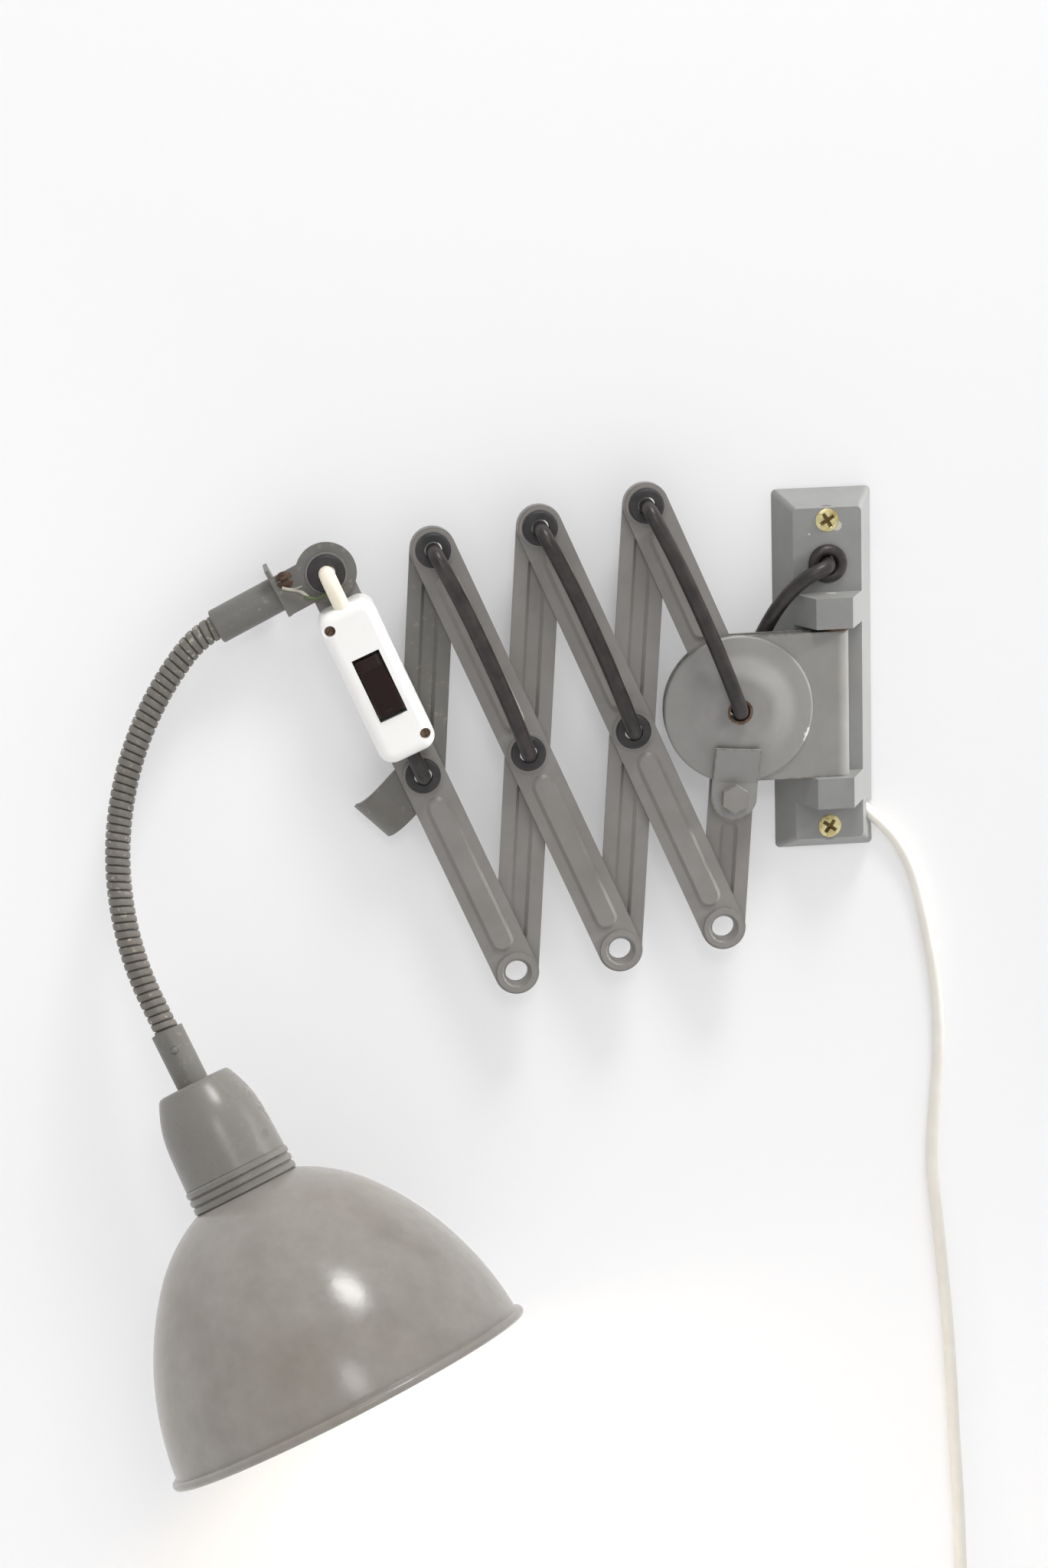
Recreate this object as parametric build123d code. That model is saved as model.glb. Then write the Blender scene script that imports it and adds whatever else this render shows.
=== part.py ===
"""Adjustable wall lamp: hinged wall plate, scissor arm of pressed links, gooseneck and dome shade.

Millimetres. The origin is on the wall, midway between the two wall screws. +X runs right along
the wall, +Z up and -Y out into the room. Depths are written as distances out from the wall.
"""
from build123d import *
from math import atan2, ceil, cos, degrees, dist, hypot, pi, radians, sin, tan
import os

# Clearances
running = 0.05
clear = 0.3

# Wall plate, a shallow bevelled box open to the wall
plate_width = 40.0
plate_height = 147.5
plate_depth = 13.5
plate_bevel = 6.2
plate_wall = 2.0
plate_corner = 2.0
screw_spacing = 125.0
screw_hole_r = 2.6
screw_head_r = 4.8
screw_sink = 2.6
boss_r = 6.0
wall_grommet_z = 45.2
wall_grommet_r = 7.8
wall_grommet_lip = 2.2
wall_grommet_groove = 1.2
cord_notch_slack = 1.2

# Swivel hinge between two lugs of the plate
lug_height = 12.4
lug_front_width = 14.7
lug_out = 28.0
hinge_x = 1.7
hinge_pin_r = 2.6
hinge_washer_r = 5.4
hinge_washer = 1.6
barrel_height = 59.0
barrel_r = 5.3
bracket_sheet = 1.4
joggle_start = 6.5
joggle_length = 3.0

# Scissor arm: pivot 0 of the middle row lies on the swivel bracket
arm_x = -38.6
arm_z = -10.05
half_link = 90.33
front_lean = 22.92
rear_lean = -4.45
stages = 3
link_width = 18.0
link_sheet = 1.6
link_gap = 0.4
arm_out = 20.9
rib_width = 9.5
rib_height = 1.3
rib_taper = 45.0
rib_from_pivot = 15.0
rib_from_leaf = 2.0

# Hollow pivots and rubber grommets
pivot_r = 5.5
pivot_bore_r = 4.6
pivot_flange_r = 8.2
pivot_flange = 1.0
rivet_flare = 1.4
rivet_flare_deep = 1.8
grommet_r = 7.0
grommet_lip = 2.0
grommet_hole_r = 3.6
grommet_neck = 1.6

# Friction disc, hollow axle and clamp strap at the first pivot
disc_over = 0.5
disc_sheet = 1.2
disc_skirt = 1.4
disc_round = 1.2
disc_step_r = 22.0
disc_step = 0.7
disc_flat_r = 14.0
disc_rise = 3.9
disc_bend = 12.0
axle_r = 5.0
axle_bore_r = 4.0
axle_flange_r = 7.4
axle_flange = 1.0
clamp_clear = 0.8
strap_width = 18.2
strap_sheet = 1.6
strap_top = 14.8
clamp_bolt_r = 3.0
clamp_hex = 10.0
clamp_head = 4.0
clamp_spacer_r = 4.2
clamp_nut = 4.6

# Rubber lead along the arm
lead_r = 3.0
lead_bend = 5.5

# Curled finger tab on the rear half link
tab_width = 18.5
tab_turn = 40.0
tab_neck = 6.0
tab_curl_r = 13.0
tab_curl = 75.0

# Cord switch on the last front link
switch_width = 23.5
switch_from_pivot = 12.0
switch_gap = 0.8
switch_base_out = 27.0
switch_out = 38.0
switch_corner = 6.0
switch_edge = 4.2
switch_wall = 2.0
window_width = 11.6
window_length = 27.0
window_shift = 1.5
rocker_gap = 0.35
rocker_pivot_out = 33.5
rocker_stand = 0.8
rocker_tilt = 4.0
switch_screw_in = 6.4
switch_screw_across = 8.2
switch_screw_r = 2.15
switch_screw_deep = 3.0
rocker_pin_r = 1.3
boot_r = 3.2

# Neck bracket on the last upper pivot
neck_heading = 26.0
neck_ring_r = 12.0
neck_arm_width = 16.5
neck_flange_at = 21.0
neck_flange_up = 11.7
neck_flange_down = 8.5
neck_flange_in = 7.5
neck_sheet = 1.6
neck_out = 15.0
neck_grommet_r = 7.5
sleeve_r = 7.0
sleeve_end = 48.5
sleeve_grip = 11.0

# Gooseneck, a ribbed metal hose bent in a plane that leans out from the wall
neck_r = 5.0
neck_valley_r = 4.2
neck_bore_r = 3.3
neck_pitch = 3.2
neck_valley = 0.5
neck_slope = 0.5
neck_lean = 17.0
neck_first_r = 36.8
neck_first_turn = 24.7
neck_second_r = 129.7
neck_second_turn = 63.8
neck_straight = 12.4
ferrule_grip = 11.0

# Lamp head, measured along its axis from the top of the ferrule
ferrule_r = 6.5
ferrule_length = 23.0
ferrule_screw_at = 8.4
ferrule_screw_r = 1.5
cap_top_r = 14.9
cap_shoulder_r = 20.8
cap_shoulder_at = 15.0
cap_r = 21.2
cap_length = 37.0
cap_wall = 1.5
cap_round = 9.0
ring_r = 21.8
ring_height = 10.0
ring_grooves = 3
ring_groove = 0.9
holder_r = 16.8
holder_flange_r = 20.5
holder_flange = 2.5
holder_below = 9.0
holder_bore_r = 13.4
nipple_r = 5.0
nipple_bore_r = 3.4
bulb_shell_r = 13.0
bulb_shell = 25.0
bulb_r = 27.5
bulb_length = 97.0
bulb_join = 37.0
bulb_neck_dip = 1.0
bulb_glass = 1.0
bulb_seal_r = 1.5

# Shade: radius and depth below its top at four knots of one smooth curve
shade_sheet = 1.0
shade_start_angle = 23.0
shade_knots = [(21.4, 0.0), (45.4, 17.8), (64.4, 49.3), (73.5, 88.0)]
shade_bead_r = 1.9

# Mains cord, its plug and the coil of its spare length
cord_r = 2.5
cord_out = 3.4
coil_out = 4.8
coil_half_turns_each_layer = 7
coil_across = 75.0
coil_pitch = 5.7
coil_z = -585.0
cord_route = [
    (8.0, 5.2, -51.6), (24.0, 4.2, -63.6), (36.0, cord_out, -83.0), (41.5, cord_out, -108.0),
    (46.0, cord_out, -134.0), (47.2, cord_out, -160.0), (45.0, cord_out, -188.0), (43.4, cord_out, -212.0),
    (46.4, cord_out, -238.0), (49.0, cord_out, -266.0), (51.8, cord_out, -300.0), (53.2, cord_out, -334.0),
    (55.4, cord_out, -368.0), (56.2, 3.8, -398.0), (57.0, coil_out, -426.0), (57.0, coil_out, coil_z)]
wall_lead_route = [
    (0.0, 6.0, wall_grommet_z), (0.0, 21.5, wall_grommet_z), (-13.2, 18.2, 38.4), (-28.0, 13.4, 18.5)]
terminal_size = (22.0, 10.0, 12.0)
terminal_z = -46.0
tie_width = 8.0
tie_sheet = 1.2
plug_width = 26.0
plug_thick = 13.6
plug_length = 36.0
plug_edge = 2.5
plug_pin_r = 2.0
plug_pin_spacing = 18.6
plug_pin_length = 19.0
plug_tail = 22.0

# Worked-out sizes of what lies round the axle and between the last two pivots
disc_r = barrel_height / 2 + disc_over
clamp_from_pivot = barrel_height / 2 + clamp_hex / 2 + clamp_clear
switch_length = half_link - neck_ring_r - switch_gap - switch_from_pivot
switch_screw_along = switch_length / 2 - switch_screw_in

# Worked-out depths, out from the wall
rear_low = arm_out - link_gap / 2 - link_sheet
rear_high = arm_out - link_gap / 2
front_low = arm_out + link_gap / 2
front_high = front_low + link_sheet
front_leaf_low = front_high + link_gap
front_leaf_high = front_leaf_low + bracket_sheet
rear_leaf_high = rear_low - link_gap
rear_leaf_low = rear_leaf_high - bracket_sheet
hinge_out = front_leaf_high - barrel_r
flange_high = front_high + pivot_flange
flange_low = rear_low - pivot_flange
grommet_high = flange_high + grommet_lip
lead_front = grommet_high + lead_bend
lead_rear = flange_low - lead_bend
disc_rim = front_leaf_high + disc_skirt
disc_top = disc_rim + disc_rise
lead_disc = disc_top + lead_bend
lead_axle = rear_leaf_low - axle_flange - lead_bend
strap_low = disc_rim + clear
strap_high = strap_low + strap_sheet
strap_end_low = disc_top + clear
neck_plate_low = front_high + link_gap
neck_plate_high = neck_plate_low + neck_sheet
neck_eyelet_high = neck_plate_high + pivot_flange
neck_eyelet_low = front_low - clear
neck_grommet_high = neck_eyelet_high + grommet_lip
boot_out = neck_grommet_high + lead_bend

# Worked-out heights of the hinge lugs, and where the cord leaves the plate
upper_lug_low = arm_z + barrel_height / 2 + hinge_washer + running
lower_lug_low = arm_z - barrel_height / 2 - lug_height - running
cord_exit_angle = degrees(atan2(cord_route[1][2] - cord_route[0][2], cord_route[1][0] - cord_route[0][0]))
cord_exit_share = (plate_width / 2 - plate_wall - cord_route[0][0]) / (cord_route[1][0] - cord_route[0][0])
cord_exit_z = cord_route[0][2] + cord_exit_share * (cord_route[1][2] - cord_route[0][2])
cord_exit_out = cord_route[0][1] + cord_exit_share * (cord_route[1][1] - cord_route[0][1])


def save(name, shape):
    """Write one named piece."""
    export_step(shape, "parts/" + name + ".step")


def out(x, distance, z):
    """A point given by its distance out from the wall."""
    return Vector(x, -distance, z)


def leaning(angle):
    """The upward direction of a link that leans left by this angle."""
    return Vector(-sin(radians(angle)), 0, cos(radians(angle)))


def on_wall(point, direction):
    """A working plane on the wall: X along the direction, Z out into the room."""
    return Plane(origin=(point.X, 0, point.Z), x_dir=direction, z_dir=(0, -1, 0))


def plan(z):
    """A level working plane: X along the wall and Y out from it."""
    return Plane(origin=(0, 0, z), x_dir=(1, 0, 0), z_dir=(0, 0, -1))


def disc_between(radius, low, high):
    """A round slug between two distances out, in a working plane on the wall."""
    return Pos(0, 0, low) * extrude(Circle(radius), high - low)


def tube(points, radius, bends):
    """A round cord along straight runs joined by tangent arcs."""
    path = FilletPolyline(*points, radius=bends)
    section = Plane(origin=path @ 0, z_dir=path % 0) * Circle(radius)
    return sweep(section, path=path)


def largest_bends(points):
    """The radius at each corner of a free cord: as large as its two runs allow."""
    radii = []
    for before, corner, after in zip(points, points[1:], points[2:]):
        turn = (corner - before).get_angle(after - corner)
        shorter = min((corner - before).length, (after - corner).length)
        radii.append(0.45 * shorter / tan(radians(turn) / 2))
    return radii


# Pivot places of the scissor: the lattice repeats one step for each stage
front_dir = leaning(front_lean)
rear_dir = leaning(rear_lean)
middle_row = [Vector(arm_x, 0, arm_z)]
for stage in range(stages):
    middle_row.append(middle_row[-1] + (front_dir - rear_dir) * half_link)
upper_row = [point + front_dir * half_link for point in middle_row]
axle_point = middle_row[0]


def wall_plate():
    """Bevelled plate with hinge lugs, screw bosses and slots for the lead and the cord."""
    def bevelled(inset, low, high, shrink):
        base = RectangleRounded(plate_width - 2 * inset, plate_height - 2 * inset, plate_corner)
        top_size = (plate_width - 2 * inset - 2 * shrink, plate_height - 2 * inset - 2 * shrink)
        top = RectangleRounded(*top_size, plate_corner)
        return loft([Pos(0, 0, low) * base, Pos(0, 0, high) * top])

    face = on_wall(Vector(0, 0, 0), Vector(1, 0, 0))
    cavity_high = plate_depth - plate_wall
    cavity_bevel = plate_bevel * cavity_high / plate_depth
    body = bevelled(0, 0, plate_depth, plate_bevel) - bevelled(plate_wall, 0, cavity_high, cavity_bevel)
    front_half = plate_width / 2 - plate_bevel
    lug = Polygon((-front_half, plate_depth - plate_wall / 2), (front_half, plate_depth - plate_wall / 2),
                  (front_half, plate_depth), (lug_front_width / 2, lug_out),
                  (-lug_front_width / 2, lug_out), (-front_half, plate_depth), align=None)
    lugs = [plan(low + lug_height) * extrude(lug, lug_height) for low in (upper_lug_low, lower_lug_low)]
    for side in (1, -1):
        hole_z = side * screw_spacing / 2
        body += Pos(0, hole_z, 0) * disc_between(boss_r, 0, plate_depth - plate_wall / 2)
        body -= Pos(0, hole_z, 0) * disc_between(screw_hole_r, 0, plate_depth)
        sink = Cone(screw_hole_r, screw_head_r, screw_sink, align=(Align.CENTER, Align.CENTER, Align.MAX))
        body -= Pos(0, hole_z, plate_depth) * sink
    body -= Pos(0, wall_grommet_z, 0) * disc_between(wall_grommet_r - wall_grommet_groove, 0, plate_depth)
    notch = Pos(plate_width / 2 - plate_wall, cord_exit_z, 0) * Rot(0, 0, cord_exit_angle)
    notch_r = cord_r + cord_notch_slack
    body -= notch * Box(7 * plate_wall, 2 * notch_r, 2 * (cord_exit_out + notch_r))
    body = face * body
    for lug in lugs:
        body += lug
    pin_hole = extrude(Circle(hinge_pin_r + running), plate_height, both=True)
    return body - hinge_axis(0) * pin_hole


def wall_grommet():
    """Rubber ring snapped into the plate where the lead comes out."""
    groove_r = wall_grommet_r - wall_grommet_groove - running
    ring = disc_between(groove_r, plate_depth - plate_wall, plate_depth)
    lip = disc_between(wall_grommet_r, plate_depth, plate_depth + wall_grommet_lip)
    ring += fillet(lip.edges().group_by(Axis.Z)[-1], 0.45 * wall_grommet_lip)
    inner_face = plate_depth - plate_wall
    ring += disc_between(wall_grommet_r, inner_face - wall_grommet_lip, inner_face)
    ring -= disc_between(grommet_hole_r, 0, lug_out)
    return on_wall(Vector(0, 0, wall_grommet_z), Vector(1, 0, 0)) * ring


def hinge_axis(z):
    """A working plane across the hinge axis at this height."""
    return Plane(origin=out(hinge_x, hinge_out, z), x_dir=(1, 0, 0), z_dir=(0, 0, 1))


def hinge_pin():
    """Pin through both lugs and the barrel, flush with the lugs."""
    high = upper_lug_low + lug_height
    return hinge_axis(lower_lug_low) * extrude(Circle(hinge_pin_r), high - lower_lug_low)


def swivel_bracket():
    """Sheet folded round the hinge pin: a flat front leaf, and a rear leaf drawn in to hold the arm."""
    # Plan outline of the fold, drawn with X along the wall and Y out from it
    def fold(offset):
        front_leaf = front_leaf_high - offset
        rear_leaf = rear_leaf_low + offset
        nose = barrel_r - offset
        left = arm_x - disc_r
        bend = hinge_x - joggle_start
        line = Line((left, front_leaf), (hinge_x, front_leaf))
        line += ThreePointArc((hinge_x, front_leaf), (hinge_x + nose, hinge_out), (hinge_x, hinge_out - nose))
        line += Polyline((hinge_x, hinge_out - nose), (bend, hinge_out - nose),
                         (bend - joggle_length, rear_leaf), (left, rear_leaf), (left, front_leaf))
        return make_face(line)

    strip = plan(arm_z) * extrude(fold(0) - fold(bracket_sheet), barrel_height / 2, both=True)
    outline = on_wall(axle_point, Vector(1, 0, 0))
    length = hinge_x + barrel_r - arm_x
    tongue = Pos(length / 2, 0, 0) * Rectangle(length, barrel_height) + Circle(barrel_height / 2)
    strip &= outline * extrude(tongue, lug_out + barrel_r)
    strip -= outline * disc_between(axle_r + running, 0, lug_out)
    return strip


def hinge_bush():
    """Bearing tube brazed inside the fold."""
    tube_r = barrel_r - bracket_sheet - running
    bush = Circle(tube_r) - Circle(hinge_pin_r + running)
    return hinge_axis(arm_z - barrel_height / 2) * extrude(bush, barrel_height)


def hinge_washer_ring():
    """Washer that fills the play above the barrel."""
    ring = Circle(hinge_washer_r) - Circle(hinge_pin_r + running)
    return hinge_axis(arm_z + barrel_height / 2 + running / 2) * extrude(ring, hinge_washer)


def friction_disc():
    """Pressed cap on the front leaf: low skirt, outer ring, sloping step and raised flat."""
    step_out = disc_rim + disc_step
    outer = [(disc_r, front_leaf_high), (disc_r, disc_rim), (disc_step_r, step_out), (disc_flat_r, disc_top),
             (axle_r, disc_top)]
    inner = [(axle_r, disc_top - disc_sheet), (disc_flat_r - disc_sheet / 2, disc_top - disc_sheet),
             (disc_step_r - disc_sheet / 2, step_out - disc_sheet),
             (disc_r - disc_sheet, disc_rim - disc_sheet), (disc_r - disc_sheet, front_leaf_high)]
    profile = make_face(Polyline(*outer, *inner, close=True))
    rounded = [v for v in profile.vertices() if abs(v.Y - disc_rim) < 0.01]
    profile = fillet(rounded, disc_round)
    bends = [v for v in profile.vertices() if min(abs(v.X - disc_flat_r), abs(v.X - disc_step_r)) < 0.01]
    profile = fillet(bends, disc_bend)
    cap = revolve(Plane.XZ * profile, Axis.Z)
    cap -= disc_between(axle_r + running, 0, disc_top + 1)
    return on_wall(axle_point, Vector(1, 0, 0)) * cap


def tilt_axle():
    """Hollow axle through bracket, links and disc, spun over behind the rear leaf."""
    axle = disc_between(axle_r, rear_leaf_low - axle_flange, disc_top)
    axle += disc_between(axle_flange_r, rear_leaf_low - axle_flange, rear_leaf_low)
    axle -= disc_between(axle_bore_r, 0, disc_top)
    return on_wall(axle_point, Vector(1, 0, 0)) * axle


def slot_plate(start, end, width, low, high, taper=0):
    """A round-ended bar between two places along a link."""
    middle = (start + end) / 2
    return Pos(middle, 0, low) * extrude(SlotCenterToCenter(end - start, width), high - low, taper=taper)


def link(front, start, end, holes, ribs):
    """A pressed link: flat round-ended strip with channels embossed between its pivots."""
    low, high = (front_low, front_high) if front else (rear_low, rear_high)
    body = slot_plate(start, end, link_width, low, high)
    for rib_start, rib_end in ribs:
        inner_width = rib_width - 1.4 * link_sheet
        if front:
            body += slot_plate(rib_start, rib_end, rib_width, high, high + rib_height, rib_taper)
            body -= slot_plate(rib_start, rib_end, inner_width, low, low + rib_height, rib_taper)
        else:
            channel = slot_plate(rib_start, rib_end, rib_width, -low, -low + rib_height, rib_taper)
            recess = slot_plate(rib_start, rib_end, inner_width, -high, -high + rib_height, rib_taper)
            body += mirror(channel, Plane.XY)
            body -= mirror(recess, Plane.XY)
    return body - drilled(holes) if holes else body


def drilled(holes):
    """The slugs that pivot holes take out of a link."""
    return [Pos(along, 0, 0) * disc_between(radius, 0, lug_out) for along, radius in holes]


def ribs_between(*pivots):
    """Channels between neighbouring pivots, clear of their flanges."""
    return [(a + rib_from_pivot, b - rib_from_pivot) for a, b in zip(pivots, pivots[1:])]


pivot_hole_r = pivot_r + running
axle_hole_r = axle_r + running


def eyelet():
    """Hollow pivot with a flange on both sides."""
    body = disc_between(pivot_r, flange_low, flange_high)
    body += disc_between(pivot_flange_r, front_high, flange_high)
    body += disc_between(pivot_flange_r, flange_low, rear_low)
    return body - disc_between(pivot_bore_r, 0, lug_out)


def flared_rivet():
    """Hollow rivet of the lower row, its mouth spread like a funnel."""
    mouth = Cone(pivot_bore_r, pivot_bore_r + rivet_flare, rivet_flare_deep,
                 align=(Align.CENTER, Align.CENTER, Align.MAX))
    return eyelet() - Pos(0, 0, flange_high) * mouth


def pivot_grommet(radius, seat):
    """Rubber grommet on the front of a hollow pivot."""
    lip = disc_between(radius, seat, seat + grommet_lip)
    lip = fillet(lip.edges().group_by(Axis.Z)[-1], 0.6 * grommet_lip)
    lip += disc_between(pivot_bore_r - running, seat - grommet_neck, seat)
    return lip - disc_between(grommet_hole_r, 0, seat + grommet_lip)


def front_lead(plane, start_out, end_out):
    """Lead along the face of a front link, from its middle pivot to its upper one."""
    points = [(0, 0, arm_out), (0, 0, start_out), (half_link, 0, end_out), (half_link, 0, arm_out)]
    return plane * tube(points, lead_r, lead_bend)


def rear_lead(plane):
    """Lead down the back of a rear link, from its upper pivot to its middle one."""
    points = [(half_link, 0, arm_out), (half_link, 0, lead_rear), (0, 0, lead_rear), (0, 0, arm_out)]
    return plane * tube(points, lead_r, lead_bend)


def clamp_place():
    """Working plane at the clamp bolt, X along the lower half link towards the axle."""
    return on_wall(axle_point - rear_dir * clamp_from_pivot, rear_dir)


def clamp_strap():
    """Bent strap whose square end rises with the disc and whose flat round end takes the bolt."""
    reach = clamp_from_pivot - strap_top
    bend = clamp_hex / (2 * cos(pi / 6)) + clear
    end = -strap_width / 2
    side = make_face(Polyline(
        (end, strap_low), (bend, strap_low), (reach, strap_end_low), (reach, strap_end_low + strap_sheet),
        (bend, strap_high), (end, strap_high), close=True))
    strip = extrude(Plane.XZ * side, strap_width / 2, both=True)
    sketch = Pos(reach / 2, 0) * Rectangle(reach, strap_width) + Circle(strap_width / 2)
    sketch -= Circle(clamp_bolt_r + running)
    return clamp_place() * (strip & extrude(sketch, strap_end_low + 2 * strap_sheet))


def hexagon(low, high):
    """A hexagonal slug between two distances out."""
    size = clamp_hex / (2 * cos(pi / 6))
    return Pos(0, 0, low) * extrude(RegularPolygon(size, 6), high - low)


def clamp_bolt():
    """Hexagon bolt through strap, spacer and lower half link."""
    shank = disc_between(clamp_bolt_r, rear_low - clamp_nut, strap_high)
    return clamp_place() * (shank + hexagon(strap_high, strap_high + clamp_head))


def clamp_nut_hex():
    """Nut behind the link, a flat of it turned to the bracket."""
    nut = hexagon(rear_low - clamp_nut, rear_low) - disc_between(clamp_bolt_r + running, 0, lug_out)
    return clamp_place() * Rot(0, 0, 30) * nut


def clamp_spacer():
    sleeve = Circle(clamp_spacer_r) - Circle(clamp_bolt_r + running)
    return clamp_place() * Pos(0, 0, rear_high) * extrude(sleeve, strap_low - rear_high)


def finger_tab():
    """The turned-out end of the rear half link, curled back towards the wall."""
    flat_end = link_width / 2 + tab_neck
    centre_low = rear_low - tab_curl_r

    def on_curl(radius, angle):
        swing = radians(90 - angle)
        return (flat_end + radius * cos(swing), centre_low + radius * sin(swing))

    outer_r = tab_curl_r + link_sheet
    side = Line((0, rear_low), (flat_end, rear_low))
    half = tab_curl / 2
    side += ThreePointArc((flat_end, rear_low), on_curl(tab_curl_r, half), on_curl(tab_curl_r, tab_curl))
    side += Line(on_curl(tab_curl_r, tab_curl), on_curl(outer_r, tab_curl))
    side += ThreePointArc(on_curl(outer_r, tab_curl), on_curl(outer_r, half), (flat_end, rear_high))
    side += Polyline((flat_end, rear_high), (0, rear_high), (0, rear_low))
    strip = extrude(Plane.XZ * make_face(side), tab_width / 2, both=True)
    return Rot(0, 0, 180 - tab_turn) * strip


os.makedirs("parts", exist_ok=True)

# Wall plate and hinge
save("wall_plate", wall_plate())
save("wall_grommet", wall_grommet())
save("hinge_pin", hinge_pin())
save("hinge_washer", hinge_washer_ring())
save("swivel_bracket", swivel_bracket())
save("hinge_bush", hinge_bush())
save("friction_disc", friction_disc())
save("tilt_axle", tilt_axle())

# Lower half link with its clamp
lower_link_plane = on_wall(axle_point, rear_dir * -1)
lower_ribs = [(clamp_from_pivot + rib_from_pivot, half_link - rib_from_pivot)]
lower_holes = [(0, axle_hole_r), (clamp_from_pivot, clamp_bolt_r + running), (half_link, pivot_hole_r)]
save("lower_half_link", lower_link_plane * link(False, 0, half_link, lower_holes, lower_ribs))
save("clamp_strap", clamp_strap())
save("clamp_bolt", clamp_bolt())
save("clamp_spacer", clamp_spacer())
save("clamp_nut", clamp_nut_hex())

# Upper half link
upper_link_plane = on_wall(axle_point, front_dir)
upper_rib_start = barrel_height / 2 + rib_width / 2 + rib_from_leaf
upper_ribs = [(upper_rib_start, half_link - rib_from_pivot)]
upper_holes = [(0, axle_hole_r), (half_link, pivot_hole_r)]
at_upper = Pos(half_link, 0, 0)
at_lower = Pos(-half_link, 0, 0)
save("upper_half_link", upper_link_plane * link(True, 0, half_link, upper_holes, upper_ribs))
save("upper_half_rivet", upper_link_plane * at_upper * eyelet())
save("upper_half_grommet", upper_link_plane * at_upper * pivot_grommet(grommet_r, flange_high))
save("front_lead_1", front_lead(upper_link_plane, lead_disc, lead_front))

# Full links, each crossing its neighbour at the middle row
full_holes = [(-half_link, pivot_hole_r), (0, pivot_hole_r), (half_link, pivot_hole_r)]
full_ribs = ribs_between(-half_link, 0, half_link)
for number in (1, 2):
    front_plane = on_wall(middle_row[number], front_dir)
    rear_plane = on_wall(middle_row[number], rear_dir)
    pivots = at_lower * flared_rivet() + eyelet() + at_upper * eyelet()
    grommet = pivot_grommet(grommet_r, flange_high)
    save(f"front_link_{number}", front_plane * link(True, -half_link, half_link, full_holes, full_ribs))
    save(f"front_link_{number}_rivets", front_plane * pivots)
    save(f"front_link_{number}_grommets", front_plane * (grommet + at_upper * grommet))
    save(f"front_lead_{number + 1}", front_lead(front_plane, lead_front, lead_front))
    save(f"rear_link_{number}", rear_plane * link(False, -half_link, half_link, full_holes, full_ribs))
    save(f"rear_lead_{number}", rear_lead(rear_plane))

# Last front link, which carries the switch
last_plane = on_wall(middle_row[stages], front_dir)
last_ribs = [(-half_link + rib_from_pivot, -rib_from_pivot)]
save("front_link_3", last_plane * link(True, -half_link, half_link, full_holes, last_ribs))
save("front_link_3_rivets", last_plane * (at_lower * flared_rivet() + eyelet()))
save("front_link_3_grommet", last_plane * pivot_grommet(grommet_r, flange_high))
inside_switch = 1.5 * switch_wall
switch_lead_points = [(0, 0, arm_out), (0, 0, lead_front), (switch_from_pivot + inside_switch, 0, lead_front)]
save("front_lead_4", last_plane * tube(switch_lead_points, lead_r, lead_bend))

# Rear half link with its finger tab
rear_half_plane = on_wall(middle_row[stages], rear_dir)
rear_half_ribs = [(rib_from_pivot, half_link - rib_from_pivot)]
rear_half_holes = [(0, pivot_hole_r), (half_link, pivot_hole_r)]
rear_half = link(False, 0, half_link, [], rear_half_ribs) + finger_tab() - drilled(rear_half_holes)
save("rear_half_link", rear_half_plane * rear_half)
save("rear_lead_3", rear_lead(rear_half_plane))

# Cord switch
switch_middle = switch_from_pivot + switch_length / 2
switch_end = switch_from_pivot + switch_length
cavity_high = switch_out - switch_wall
cheek_out = window_width / 2 + switch_wall
rocker_r = window_length / 2 - rocker_gap
rocker_at = switch_middle - window_shift


def switch_block(inset, low, high):
    """The rounded outline of the switch between two distances out."""
    size = (switch_length - 2 * inset, switch_width - 2 * inset)
    return Pos(switch_middle, 0, low) * extrude(RectangleRounded(*size, switch_corner - inset), high - low)


def switch_base():
    """Tray screwed flat on the link."""
    tray = switch_block(0, front_high, switch_base_out)
    return tray - switch_block(switch_wall, front_high + switch_wall, switch_out)


def switch_cover():
    """Moulded cover with the rocker window, two sunk screw holes and entries for lead and boot."""
    cover = switch_block(0, switch_base_out, switch_out)
    cover = fillet(cover.edges().group_by(Axis.Z)[-1], switch_edge)
    cover -= switch_block(switch_wall, 0, cavity_high)
    inside_top = switch_out - switch_wall / 2
    cheek = Box(4 * rocker_pin_r, switch_wall, inside_top - rocker_pivot_out + 2 * rocker_pin_r,
                align=(Align.CENTER, Align.CENTER, Align.MAX))
    for side in (1, -1):
        cover += Pos(rocker_at, side * (cheek_out - switch_wall / 2), inside_top) * cheek
        post = Pos(switch_middle + side * switch_screw_along, side * switch_screw_across, 0)
        cover += post * disc_between(switch_screw_r + switch_wall / 2, switch_base_out, inside_top)
        cover -= post * disc_between(switch_screw_r, switch_out - switch_screw_deep, switch_out)
    cover -= Pos(rocker_at, 0, switch_out) * Box(window_length, window_width, 4 * switch_wall)
    pin_hole = Rot(90, 0, 0) * Cylinder(rocker_pin_r + running, 2 * cheek_out)
    cover -= Pos(rocker_at, 0, rocker_pivot_out) * pin_hole
    cover -= Pos(0, 0, lead_front) * Rot(0, 90, 0) * Cylinder(lead_r + running, 2 * switch_middle)
    cover -= Pos(switch_end, 0, boot_out) * Rot(0, 90, 0) * Cylinder(boot_r + running, 4 * switch_wall)
    return cover


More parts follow.
